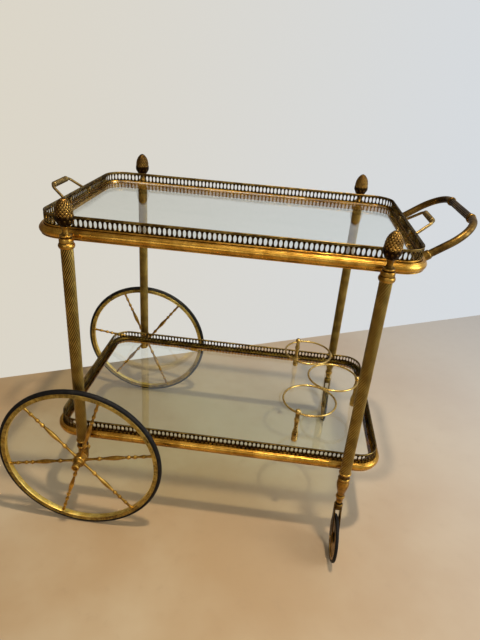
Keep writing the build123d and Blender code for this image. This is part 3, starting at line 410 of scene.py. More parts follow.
def add_piece(name, parts, material, *nodes, sharp=32.0):
    """Joins parts, each (points, faces, relief), into a piece that stands for CAD nodes."""
    body, slot = body_of[nodes[0]], slot_of[nodes[0]]
    mesh = bpy.data.meshes.new(name)
    start, points, faces, relief = 0, [], [], []
    for part_points, part_faces, part_relief in parts:
        points.append(np.asarray(part_points) * MM)
        faces += [tuple(start + k for k in face) for face in part_faces]
        relief.append(part_relief)
        start += len(part_points)
    mesh.from_pydata(np.concatenate(points).tolist(), [], faces)
    attribute = mesh.attributes.new("relief", "FLOAT", "POINT")
    attribute.data.foreach_set("value", np.concatenate(relief).astype(np.float32))
    form = bmesh.new()
    form.from_mesh(mesh)
    bmesh.ops.remove_doubles(form, verts=form.verts, dist=MERGE_DISTANCE)
    bmesh.ops.recalc_face_normals(form, faces=form.faces)
    form.to_mesh(mesh)
    form.free()
    mesh.shade_smooth()
    mesh.set_sharp_from_angle(angle=radians(sharp))
    piece = add_object(name, mesh)
    mesh.materials.append(materials[material])
    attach(piece, body)
    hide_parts(*nodes)


# ---- sizes of the frame
rail_low, rail_high = box_mm("top_rail")
lower_rail_low, _ = box_mm("lower_rail")
RAIL_X, RAIL_Y = rail_high[0], rail_high[1]
RAIL_CORNER = 53.0
RAIL_HEIGHT = rail_high[2] - rail_low[2]
GALLERY_INSET = 10.0
LEDGE_INSET = 24.0
LEDGE_TOP = 12.5
POST_R = 11.2
POST_FOOT_Z = 214.0
POST_HEAD_Z = 633.0


def loop_stations(per_corner=14, step=60.0):
    """Places round the rails' outer face, and the inward direction at each."""
    cx, cy = RAIL_X - RAIL_CORNER, RAIL_Y - RAIL_CORNER
    corners = ((cx, cy, 0), (-cx, cy, 90), (-cx, -cy, 180), (cx, -cy, 270))
    places, inward = [], []
    for k, (x, y, start) in enumerate(corners):
        for s in range(per_corner + 1):
            turn = radians(start + 90 * s / per_corner)
            out = np.array((cos(turn), sin(turn)))
            places.append(np.array((x, y)) + RAIL_CORNER * out)
            inward.append(-out)
        following = corners[(k + 1) % 4]
        turn = radians(start + 90)
        out = np.array((cos(turn), sin(turn)))
        run_end = np.array(following[:2]) + RAIL_CORNER * out
        pieces = int(ceil(np.linalg.norm(run_end - places[-1]) / step))
        run_start = places[-1]
        for s in range(1, pieces):
            places.append(run_start + (run_end - run_start) * s / pieces)
            inward.append(-out)
    return np.array(places), np.array(inward)


def sweep_loop(section, stations, wave=None):
    """Carries a closed (inset, height) section round the loop. wave adds to the insets."""
    places, inward = stations
    section = np.array(section, float)
    insets = np.repeat(section[None, :, 0], len(places), 0)
    if wave is not None:
        insets = insets + wave
    ground = places[:, None, :] + inward[:, None, :] * insets[:, :, None]
    heights = np.repeat(section[None, :, 1], len(places), 0)[:, :, None]
    points = np.concatenate([ground, heights], 2).reshape(-1, 3)
    mirrored = section * (-1, 1)
    relief = np.tile(relief_of(mirrored, True), len(places))
    return points, grid_faces(len(places), len(section), True, True), relief


# ---- rails
def rail_section(z):
    """The rail moulding: a bulged face, a small bead at its foot and fine reeds on its shoulder."""
    section = [(12.0, 0.0), (12.0, 9.5), (LEDGE_INSET, 9.5), (LEDGE_INSET, LEDGE_TOP),
               (8.8, LEDGE_TOP)]
    section += [(8.8, RAIL_HEIGHT - 0.3), (8.5, RAIL_HEIGHT)]
    section += arc((6.35, 18.35), 0.65, 80, 190, 6)
    section += [(5.55, 18.0)]
    section += arc((4.85, 17.45), 0.62, 80, 200, 6)
    section += [(4.0, 17.0)]
    section += arc((3.72, 16.35), 0.45, 100, 190, 4)
    section += through((3.3, 15.9), (0.0, 9.6), (3.3, 3.3), 18)[1:-1]
    section += [(3.55, 2.9)]
    section += arc((4.9, 1.5), 1.5, 150, 270, 8)
    return [(inset, z + height) for inset, height in section]


for node, foot in (("top_rail", rail_low[2]), ("lower_rail", lower_rail_low[2])):
    moulding = sweep_loop(rail_section(foot), loop_stations())
    add_piece(f"{node}_moulding", [moulding], "brass_moulding", node, sharp=50)


# ---- galleries
BAND_THICKNESS = 2.0
STRIP_THICKNESS = 1.4
CAP_BEAD_R = 1.15
HOLE_HALF_WIDTH = 3.0
CORNER_HOLES = 8
LONG_HOLES = 68
SHORT_HOLES = 37
UP_STEPS = 8
ACROSS_STEPS = 6
# (outset from the hole's edge, stand above the strip's face, relief) of each ring round a hole
HOLE_RINGS = ((0.0, 0.10, 0.1), (0.28, 0.42, 0.9), (0.62, 0.36, 0.5), (0.95, 0.0, -0.6))


def cell(pitch, bottom, top, hole_z, hole_half_height):
    """One pierced cell of a strip, unrolled: points as (along, outward, z)."""
    half = pitch / 2
    up = np.linspace(bottom, top, UP_STEPS + 1)
    across = np.linspace(-half, half, ACROSS_STEPS + 1)
    border = [(half, z) for z in up[:-1]] + [(x, top) for x in across[::-1][:-1]]
    border += [(-half, z) for z in up[::-1][:-1]] + [(x, bottom) for x in across[:-1]]
    border = np.array(border)
    turns = np.arctan2((border[:, 1] - hole_z) / hole_half_height, border[:, 0] / HOLE_HALF_WIDTH)
    count = len(border)
    points, relief = [], []
    for face in (1, -1):
        for outset, stand, proud in HOLE_RINGS:
            for turn in turns:
                points.append(((HOLE_HALF_WIDTH + outset) * cos(turn),
                               face * (STRIP_THICKNESS / 2 + stand),
                               hole_z + (hole_half_height + outset) * sin(turn)))
            relief += [proud] * count
        points += [(x, face * STRIP_THICKNESS / 2, z) for x, z in border]
        relief += [-0.3] * count
    rings = len(HOLE_RINGS) + 1
    faces = []
    for k in range(count):
        following = (k + 1) % count
        for side in (0, rings):
            for ring in range(side, side + rings - 1):
                faces.append((ring * count + k, ring * count + following,
                              (ring + 1) * count + following, (ring + 1) * count + k))
        faces.append((k, following, rings * count + following, rings * count + k))
    outer, inner = (rings - 1) * count, (2 * rings - 1) * count
    around = [(k, (k + 1) % count) for k in range(count)]
    rims = [(outer + a, outer + b, inner + b, inner + a) for a, b in around]
    closing, start = {}, 0
    for edge, steps in zip(("right", "top", "left", "bottom"), (UP_STEPS, ACROSS_STEPS) * 2):
        closing[edge] = rims[start:start + steps]
        start += steps
    return np.array(points), faces, np.array(relief), closing


def pierced_strip(length, holes, levels, place):
    """A strip of cells with closed ends and edges. place(along, outward, z) gives its points."""
    bottom, top, hole_z, half_height = levels
    pitch = length / holes
    points, faces, relief, closing = cell(pitch, bottom, top, hole_z, half_height)
    all_points, all_faces, all_relief = [], [], []
    for k in range(holes):
        along = points[:, 0] + (k + 0.5 - holes / 2) * pitch
        all_points.append(place(along, points[:, 1], points[:, 2]))
        own = faces + closing["top"] + closing["bottom"]
        own += closing["left"] if k == 0 else []
        own += closing["right"] if k == holes - 1 else []
        all_faces += [tuple(k * len(points) + v for v in face) for face in own]
        all_relief.append(relief)
    return np.concatenate(all_points), all_faces, np.concatenate(all_relief)


def straight_place(angle, distance):
    """A side whose outward direction is at an angle (degrees) and whose middle is that far out."""
    out = np.array((cos(radians(angle)), sin(radians(angle))))
    tangent = np.array((-out[1], out[0]))

    def place(along, outward, z):
        ground = np.outer(distance + outward, out) + np.outer(along, tangent)
        return np.column_stack([ground, z])
    return place


def corner_place(x, y, middle_angle, radius):
    def place(along, outward, z):
        turn = radians(middle_angle) + along / radius
        reach = radius + outward
        return np.column_stack([x + reach * np.cos(turn), y + reach * np.sin(turn), z])
    return place


def gallery(name, levels, nodes):
    mid = GALLERY_INSET + BAND_THICKNESS / 2
    cx, cy = RAIL_X - RAIL_CORNER, RAIL_Y - RAIL_CORNER
    sides = [pierced_strip(2 * cy, SHORT_HOLES, levels, straight_place(angle, RAIL_X - mid))
             for angle in (0, 180)]
    sides += [pierced_strip(2 * cx, LONG_HOLES, levels, straight_place(angle, RAIL_Y - mid))
              for angle in (90, 270)]
    add_piece(f"{name}_pierced_sides", sides, "brass_gallery", f"{nodes}_sides", sharp=50)
    radius = RAIL_CORNER - mid
    corners = [pierced_strip(radius * pi / 2, CORNER_HOLES, levels,
                             corner_place(sx * cx, sy * cy, angle, radius))
               for sx, sy, angle in ((1, 1, 45), (-1, 1, 135), (-1, -1, 225), (1, -1, 315))]
    add_piece(f"{name}_pierced_corners", corners, "brass_gallery", f"{nodes}_corners", sharp=50)
    _, strip_top, hole_z, half_height = levels
    low = hole_z + half_height + 1.5
    bead = strip_top - CAP_BEAD_R
    section = [(mid + 0.9, low), (mid + 0.9, bead - 1.3), (mid + 0.6, bead - 1.0)]
    section += arc((mid, bead), CAP_BEAD_R, -50, 230, 14)
    section += [(mid - 0.6, bead - 1.0), (mid - 0.9, bead - 1.3), (mid - 0.9, low)]
    cap = sweep_loop(section, loop_stations())
    add_piece(f"{name}_cap_bead", [cap], "brass_gallery", f"{nodes}_sides", f"{nodes}_corners",
              sharp=50)


tray_gallery_top = box_mm("tray_gallery_sides")[1][2]
shelf_gallery_top = box_mm("lower_gallery_sides")[1][2]
shelf_z = box_mm("lower_gallery_sides")[0][2]
tray_rim_low, tray_rim_high = box_mm("tray_rim")
TRAY_HOLE_Z = tray_gallery_top - 12.0
SHELF_HOLE_Z = shelf_gallery_top - 9.3
SHELF_WALL_TOP = shelf_z + 11.0
gallery("tray_gallery", (tray_rim_high[2] - 0.4, tray_gallery_top, TRAY_HOLE_Z, 6.5),
        "tray_gallery")
gallery("shelf_gallery", (SHELF_WALL_TOP - 0.4, shelf_gallery_top, SHELF_HOLE_Z, 5.25),
        "lower_gallery")


TONGUE_PITCH = 8.85
TONGUE_DEPTH = 0.45
TONGUE_STEP = 1.48


def fluted_wall():
    """The lower gallery's wall below its holes, pressed into small upright tongues."""
    stations = loop_stations(48, TONGUE_STEP)
    places = stations[0]
    runs = np.linalg.norm(np.roll(places, -1, 0) - places, axis=1)
    at = np.concatenate([[0], np.cumsum(runs)[:-1]])
    tongues = round(runs.sum() / TONGUE_PITCH)
    phase = (at / runs.sum() * tongues) % 1.0
    low, mid = GALLERY_INSET, GALLERY_INSET + BAND_THICKNESS / 2
    heights = (0.0, 1.2, 2.0, 5.5, 9.0, 10.2, 11.0)
    depth = np.array((0.0, 0.2, 1.0, 1.0, 1.0, 0.3, 0.0))
    outer = [(low + 0.15, shelf_z + h) for h in heights]
    inner = [(2 * mid - low - 0.15, shelf_z + h) for h in reversed(heights)]
    bulge = np.sqrt(np.clip(1 - (2 * phase - 1) ** 2, 0, 1))
    swell = TONGUE_DEPTH * bulge
    wave = np.concatenate([-np.outer(swell, depth), np.outer(swell, depth[::-1])], 1)
    points, faces, _ = sweep_loop(outer + inner, stations, wave)
    profile = np.concatenate([depth, depth[::-1]])
    relief = (np.outer(bulge, profile) * 1.3 - 0.75).reshape(-1)
    return points, faces, relief


add_piece("shelf_gallery_wall", [fluted_wall()], "brass_gallery", "lower_gallery_sides",
          "lower_gallery_corners", sharp=60)

# ---- tray rim and glass
FLANGE = 2.0
low, high = tray_rim_low[2], tray_rim_high[2]
rim_section = [(LEDGE_INSET, low), (LEDGE_INSET, low + FLANGE), (12.0, low + FLANGE), (12.0, high),
               (10.4, high)]
rim_section += arc((10.15, high - 0.75), 0.7, 90, 250, 6)
rim_section += arc((10.15, high - 2.25), 0.7, 110, 250, 6)
rim_section += [(10.1, high - 3.2), (10.0, low + 0.4), (10.4, low)]
add_piece("tray_rim_moulding", [sweep_loop(rim_section, loop_stations())], "brass_moulding",
          "tray_rim", sharp=50)


def glass_plate(name, node):
    low, high = box_mm(node)
    corner = RAIL_CORNER - (RAIL_X - high[0])
    outline = []
    for sx, sy, start in ((1, 1, 0), (-1, 1, 90), (-1, -1, 180), (1, -1, 270)):
        centre = (sx * (high[0] - corner), sy * (high[1] - corner))
        outline += arc(centre, corner, start, start + 90, 16)
    part = plate(outline, low[2], high[2], 0.8, lambda x, y, z: (x, y, z))
    add_piece(name, [part], "clear_glass", node, sharp=20)


glass_plate("tray_glass_plate", "tray_glass")
glass_plate("shelf_glass_plate", "lower_glass")

# ---- posts, capitals and finials
REEDS = 16
REED_DEPTH = 1.25
REED_LEAD = 127.0
SAMPLES_PER_REED = 7


def reeded_post(x, y):
    """A tube with fine convex reeds that twist up it like rope."""
    levels = np.linspace(POST_FOOT_Z, POST_HEAD_Z, 150)
    count = REEDS * SAMPLES_PER_REED
    turns = np.linspace(0, 2 * pi, count, endpoint=False)
    twist = levels[:, None] / REED_LEAD * 2 * pi
    phase = (turns[None, :] * REEDS / (2 * pi)) % 1.0
    across = np.abs(2 * phase - 1)
    radius = POST_R - REED_DEPTH * across**2.2
    angle = turns[None, :] + twist
    points = np.stack([x + radius * np.cos(angle), y + radius * np.sin(angle),
                       np.repeat(levels[:, None], count, 1)], 2)
    relief = np.repeat(0.8 - 1.9 * across**1.6, len(levels), 0)
    return points.reshape(-1, 3), grid_faces(len(levels), count, False, True), relief.reshape(-1)


ROWS_OVERLAPPED = 2


def shingles(turn, level, count):
    """Height of pointed overlapping scales, lower rows over upper ones: turn is in whole turns
    and level in rows."""
    height = np.zeros(np.broadcast(turn, level).shape)
    done = np.zeros(height.shape, bool)
    for below in range(ROWS_OVERLAPPED, -1, -1):
        row = np.floor(level) - below
        up = (level - row) / ROWS_OVERLAPPED
        place = turn * count + 0.5 * (row % 2)
        across = 2 * (place - np.round(place))
        taper = np.clip((up - 0.30) / 0.70, 0, 1)
        inside = (up >= 0) & (up <= 1) & (np.abs(across) <= 1.02 * np.sqrt(1 - taper**2)) & ~done
        scale = 0.30 + 0.70 * up - 0.45 * across**2 * (1 - 0.4 * taper)
        height = np.where(inside, scale, height)
        done |= inside
    return height


FINIAL_SPLIT = 691.0
FINIAL_TOP = 722.0
FINIAL_MAX_R = 16.1
SCALES_ROUND, SCALE_ROW = 14, 3.6
LEAVES_ROUND, LEAF_ROW = 11, 8.5


def pinecone(x, y):
    """A finial: an egg of overlapping scales standing in a cup of pointed leaves."""
    outline = np.array(smooth([
        (7.4, 672.0), (9.8, 675.5), (13.0, 681.5), (15.2, 688.5), (15.8, 695.0), (15.0, 702.5),
        (12.7, 709.5), (9.1, 715.2), (4.9, 719.2), (0.6, 721.0)], 14))
    count = 120
    turns = np.linspace(0, 1, count, endpoint=False)[None, :]
    heights = outline[:, 1][:, None]
    scales = shingles(turns, (heights - FINIAL_SPLIT) / SCALE_ROW, SCALES_ROUND)
    leaves = shingles(turns, (heights - 668.0) / LEAF_ROW, LEAVES_ROUND)
    leaf_edge = FINIAL_SPLIT + 1.6 - 5.0 * np.abs(((turns * LEAVES_ROUND) % 1.0) - 0.5)
    is_leaf = heights < leaf_edge
    fade = np.clip((FINIAL_TOP - heights) / 6.0, 0.1, 1.0) * np.clip((heights - 671.5) / 4.0, 0, 1)
    stand = np.where(is_leaf, 1.7 * leaves + 0.5, 2.2 * scales - 2.3) * fade
    radii = np.clip(outline[:, 0][:, None] + stand, 0.2, FINIAL_MAX_R)
    angle = turns * 2 * pi
    points = np.stack([x + radii * np.cos(angle), y + radii * np.sin(angle),
                       np.repeat(heights, count, 1)], 2)
    relief = np.clip(np.where(is_leaf, 1.9 * leaves - 1.75, 2.8 * scales - 1.6), -1, 1)
    faces = grid_faces(len(outline), count, False, True)
    faces.append(tuple(range(count)))
    faces.append(tuple(range(len(outline) * count - 1, (len(outline) - 1) * count - 1, -1)))
    return points.reshape(-1, 3), faces, relief.reshape(-1)


CAPITAL = turned(
    (3.0, 633.0), (11.4, 633.0), [(12.3, 633.2), (14.6, 638.0), (12.6, 642.8), 12], (12.1, 643.2),
    (12.1, 643.9), (12.5, 644.3), (12.5, 650.6), (12.0, 651.5), (9.3, 652.6), (9.3, 653.2),
    [(9.6, 653.5), (11.0, 655.5), (9.6, 657.5), 8], [(9.2, 657.6), (6.6, 659.7), (5.6, 663.5), 8],
    *through((5.6, 663.5), (6.0, 669.0), (7.4, 672.0), 8)[1:], (3.0, 672.0))
LEG_HEAD = turned(
    (3.0, 214.0), (11.4, 214.0), [(11.6, 213.9), (12.7, 211.8), (11.6, 209.7), 8], (10.9, 209.3),
    (10.5, 208.6), (10.5, 200.6), [(10.6, 200.2), (12.5, 197.0), (10.6, 193.9), 8])
VASE = smooth([(10.6, 193.6), (11.9, 190.0), (12.75, 184.0), (12.0, 176.0), (10.2, 168.0),
               (8.7, 162.4)], 5)
CASTER_LEG = turned(
    *LEG_HEAD, *VASE, [(8.3, 162.0), (7.7, 158.0), (7.5, 152.9), 6],
    [(7.7, 152.5), (9.5, 148.0), (7.7, 143.5), 8], [(7.5, 143.2), (6.9, 139.0), (7.0, 134.7), 6],
    (6.8, 134.1), (4.2, 134.0))
WHEEL_FOOT = turned(
    *LEG_HEAD, (10.4, 193.4), (9.8, 191.0), [(9.9, 190.4), (10.6, 177.5), (9.9, 165.2), 10],
    (9.2, 163.2), (7.6, 161.2), (5.2, 159.6), (2.6, 158.7), (0.02, 158.5))

for end in ENDS:
    for side in SIDES:
        x, y, _ = centre_mm(f"post_tube_{side}_{end}")
        add_piece(f"reeded_post_{side}_{end}", [reeded_post(x, y)], "brass_post",
                  f"post_tube_{side}_{end}", sharp=75)
        add_piece(f"turned_capital_{side}_{end}", [lathe(CAPITAL, (x, y, 0), closed=True)],
                  "brass_turned", f"capital_{side}_{end}")
        add_piece(f"pinecone_finial_{side}_{end}", [pinecone(x, y)], "brass_finial",
                  f"finial_{side}_{end}", sharp=60)

for side in SIDES:
    for kind, end, outline in (("caster_leg", "right", CASTER_LEG),
                               ("wheel_foot", "left", WHEEL_FOOT)):
        x, y, _ = centre_mm(f"post_tube_{side}_{end}")
        leg = lathe(outline, (x, y, 0))
        add_piece(f"turned_{kind}_{side}", [leg], "brass_turned", f"{kind}_{side}")

# ---- push handle
_, handle_high = box_mm("push_handle")
_, collar_high = box_mm("push_handle_collars")
HANDLE_R = 7.2
HANDLE_BEND = 60.0
COLLAR_HALF = 4.5
SLEEVE_REEDS = 14
SLEEVE_COUNT = SLEEVE_REEDS * 8
SLEEVE_OVERLAP = 0.5
bar_x, bar_z = handle_high[0] - HANDLE_R, handle_high[2] - HANDLE_R
half_width = handle_high[1] - HANDLE_R
root_x, root_z = 352.0, 645.0
rise = np.array((bar_x - root_x, 0.0, bar_z - root_z))
leg_length = np.linalg.norm(rise)
rise /= leg_length


def on_handle(along, y):
    return np.array((root_x, 0.0, root_z)) + rise * along + np.array((0.0, y, 0.0))


collar_y = collar_high[1] - COLLAR_HALF
sleeve_end = collar_y - COLLAR_HALF + SLEEVE_OVERLAP
sleeve_outline = [(5.5, -sleeve_end), (7.0, -sleeve_end)]
sleeve_outline += [(7.19, y) for y in np.linspace(2 - sleeve_end, sleeve_end - 2, 12)]
sleeve_outline += [(7.0, sleeve_end), (5.5, sleeve_end)]


def reed_valley(turns):
    """0 on the crests of the sleeve's reeds, 1 in the valleys between them."""
    return np.abs(np.sin(turns * SLEEVE_REEDS / 2))


points, faces, _ = lathe(
    sleeve_outline, (bar_x, 0, bar_z), (0, 1, 0), SLEEVE_COUNT, True,
    lambda turns: 1 - 0.085 * reed_valley(turns) ** 0.7)
sleeve_valleys = reed_valley(np.linspace(0, 2 * pi, SLEEVE_COUNT, endpoint=False))
sleeve_relief = np.tile(1 - 1.9 * sleeve_valleys, len(sleeve_outline))
legs = []
for sign in (-1, 1):
    leg = [on_handle(-4.0, sign * half_width), on_handle(10.0, sign * half_width)]
    bend = arc((leg_length - HANDLE_BEND, half_width - HANDLE_BEND), HANDLE_BEND, 90, 0, 16)
    leg += [on_handle(along, sign * y) for along, y in bend]
    leg.append(on_handle(leg_length, sign * (sleeve_end - 2)))
    legs.append(tube(leg, HANDLE_R, 28))
add_piece("push_handle_tube", legs, "brass_handle", "push_handle")
add_piece("push_handle_reeded_grip", [(points, faces, sleeve_relief)], "brass_handle",
          "push_handle", sharp=60)
socket_outline = turned(
    (7.2, 2.5), (8.8, 2.5), (9.0, 2.8), (9.0, 12.6), [(9.0, 13.2), (8.7, 15.8), (7.6, 17.3), 6],
    (7.2, 17.5))
rings = [lathe(socket_outline, on_handle(0, y), rise, 36, True) for y in (-half_width, half_width)]
add_piece("push_handle_socket_rings", rings, "brass_handle", "push_handle_sockets")
collar_outline = turned(
    (7.2, -4.5), (8.1, -4.5), [(8.2, -4.4), (8.8, -3.5), (8.1, -2.6), 5],
    [(8.1, -2.5), (9.3, 0.0), (8.1, 2.5), 8], [(8.1, 2.6), (8.8, 3.5), (8.2, 4.4), 5], (8.1, 4.5),
    (7.2, 4.5))
knuckles = [lathe(collar_outline, (bar_x, y, bar_z), (0, 1, 0), 36, True)
            for y in (-collar_y, collar_y)]
add_piece("push_handle_knuckles", knuckles, "brass_handle", "push_handle_collars")

# ---- tray handles
BAIL_R = 2.9
BAIL_BEND = 12.0
BAIL_FOOT_Y = 53.19
BAIL_GRIP_Y = 41.0
BAIL_KNEE_X = 356.0
GRIP_HALF = 32.0
GRIP_RIBS = 9
NUT_R = 5.6
NUT_HEIGHT = 3.6
gallery_face = RAIL_X - GALLERY_INSET
strip_out = gallery_face - (BAND_THICKNESS - STRIP_THICKNESS) / 2
strip_in = strip_out - STRIP_THICKNESS
_, bail_high = box_mm("tray_handle_right")
grip_x, grip_z = bail_high[0] - BAIL_R, bail_high[2] - BAIL_R


def rounded_route(corners, radius, steps=7):
    """A path of straight runs joined by round bends."""
    p = [np.array(c, float) for c in corners]
    out = [p[0]]
    for a, b, c in zip(p, p[1:], p[2:]):
        u, v = (a - b) / np.linalg.norm(a - b), (c - b) / np.linalg.norm(c - b)
        half = 0.5 * np.arccos(np.clip(np.dot(u, v), -1, 1))
        reach = radius / np.tan(half)
        inner = b + (u + v) / np.linalg.norm(u + v) * radius / sin(half)
        start, end = b + u * reach - inner, b + v * reach - inner
        spread = np.arccos(np.clip(np.dot(start, end) / radius**2, -1, 1))
        for k in range(steps + 1):
            t = k / steps
            swing = start * sin((1 - t) * spread) + end * sin(t * spread)
            out.append(inner + swing / sin(spread))
    return [*out, p[-1]]


ribs = []
for rib in range(GRIP_RIBS):
    width = 2 * GRIP_HALF / GRIP_RIBS
    low = rib * width - GRIP_HALF
    ribs += through((4.9, low + 0.3), (6.1, low + width / 2), (4.9, low + width - 0.3), 8)
grip_outline = [(2.8, -GRIP_HALF), (4.3, -GRIP_HALF)] + ribs + [(4.3, GRIP_HALF), (2.8, GRIP_HALF)]

for end, sign in ENDS.items():
    half_route = [(sign * (strip_in - NUT_HEIGHT), BAIL_FOOT_Y, TRAY_HOLE_Z),
                  (sign * BAIL_KNEE_X, BAIL_FOOT_Y, TRAY_HOLE_Z),
                  (sign * grip_x, BAIL_GRIP_Y, grip_z)]
    corners = [(x, -y, z) for x, y, z in half_route] + half_route[::-1]
    bail = tube(rounded_route(corners, BAIL_BEND), BAIL_R, 18)
    add_piece(f"tray_bail_{end}", [bail], "brass_bail", f"tray_handle_{end}")
    grip = lathe(grip_outline, (sign * grip_x, 0, grip_z), (0, 1, 0), 32, True)
    add_piece(f"tray_bail_grip_{end}", [grip], "brass_bail", f"tray_handle_grip_{end}")

rosette_outline = turned(
    (2.9, 0.0), (7.1, 0.0), (7.2, 0.4), [(7.2, 0.5), (6.2, 1.7), (4.8, 1.5), 6],
    [(4.7, 1.5), (3.9, 2.4), (2.9, 2.4), 6])
hexagon = [(NUT_R * cos(pi / 3 * k), NUT_R * sin(pi / 3 * k)) for k in range(6)]
fixings = []
for sign in (-1, 1):
    for foot_y in (-BAIL_FOOT_Y, BAIL_FOOT_Y):
        place = (sign * strip_out, foot_y, TRAY_HOLE_Z)
        fixings.append(lathe(rosette_outline, place, (sign, 0, 0), 32, True))
        fixings.append(plate(hexagon, -NUT_HEIGHT, 0.0, 0.5, lambda a, b, h: (
            sign * (strip_in + h), foot_y + sign * a, TRAY_HOLE_Z + b)))
add_piece("tray_bail_fixings", fixings, "brass_bail", "tray_handle_nuts")

# ---- bottle rack
WIRE_R = 2.3
ring_places = {}
for name in ("front", "back", "end"):
    low, high = box_mm(f"bottle_ring_{name}")
    x, y, z = (low + high) / 2
    reach = (high[0] - low[0]) / 2 - WIRE_R
    ring_places[name] = (x, y, reach)
    turns = np.linspace(0, 2 * pi, 96, endpoint=False)
    circle = np.stack([x + reach * np.cos(turns), y + reach * np.sin(turns), np.full(96, z)], 1)
    add_piece(f"bottle_ring_wire_{name}", [tube(circle, WIRE_R, 16, True)], "brass_fittings",
              f"bottle_ring_{name}")

legs_low, legs_high = box_mm("rack_legs")
leg_height = legs_high[2] - legs_low[2]
RACK_LEG = turned(
    (0.02, 0.0), (6.4, 0.0), (6.6, 0.4), [(6.7, 0.6), (7.2, 4.0), (6.8, 7.6), 6],
    [(6.7, 8.2), (6.8, 21.0), (4.7, 30.5), 10], [(4.6, 31.0), (4.4, 38.0), (5.2, 49.6), 8],
    [(5.2, 50.0), (6.2, 55.0), (5.2, 60.0), 8], (4.8, 62.0), (4.8, leg_height - 11.4),
    *arc((0.0, leg_height - 6.6), 6.6, -43, 89.7, 14))
outward = atan2(52.5, -25.6)  # from a side ring's centre to its leg
leg_places = []
for name, sign in SIDES.items():
    x, y, reach = ring_places[name]
    leg_places.append((x + reach * cos(outward), y + sign * reach * sin(outward)))
leg_places.append((ring_places["end"][0] + ring_places["end"][2], ring_places["end"][1]))
rack_legs = [lathe(RACK_LEG, (x, y, legs_low[2]), segments=40) for x, y in leg_places]
add_piece("turned_rack_legs", rack_legs, "brass_fittings", "rack_legs")

# ---- large wheels
TYRE_DEPTH = 7.0
RIM_DEPTH = 10.0
HUB_R = 13.5
SPOKES = 6
WHEEL_SEGMENTS = 144
SPOKE_PHASE = {"front": 12.5, "back": 53.0}
# (part of the way from hub to rim, radius) down a spoke
SPOKE_TURNING = (
    (0.00, 3.6), (0.05, 2.9), (0.16, 2.7), (0.21, 4.6), (0.26, 2.6), (0.33, 3.4), (0.45, 4.9),
    (0.58, 3.1), (0.615, 2.5), (0.65, 4.4), (0.685, 2.5), (0.715, 2.5), (0.75, 4.2),
    (0.785, 2.5), (0.84, 2.6), (0.88, 4.0), (0.92, 2.6), (1.00, 3.4),
)


def tyre_outline(seat, radius, half, wall, chamfer, steps):
    """A tyre's section, from its seat on the rim to its rounded tread."""
    return turned((seat - chamfer, chamfer - half), (seat + 0.2, -half),
                  (radius - wall - chamfer, -half),
                  [(radius - wall, 0.1 - half), (radius, 0), (radius - wall, half - 0.1), steps],
                  (radius - wall - chamfer, half), (seat + 0.2, half),
                  (seat - chamfer, half - chamfer))


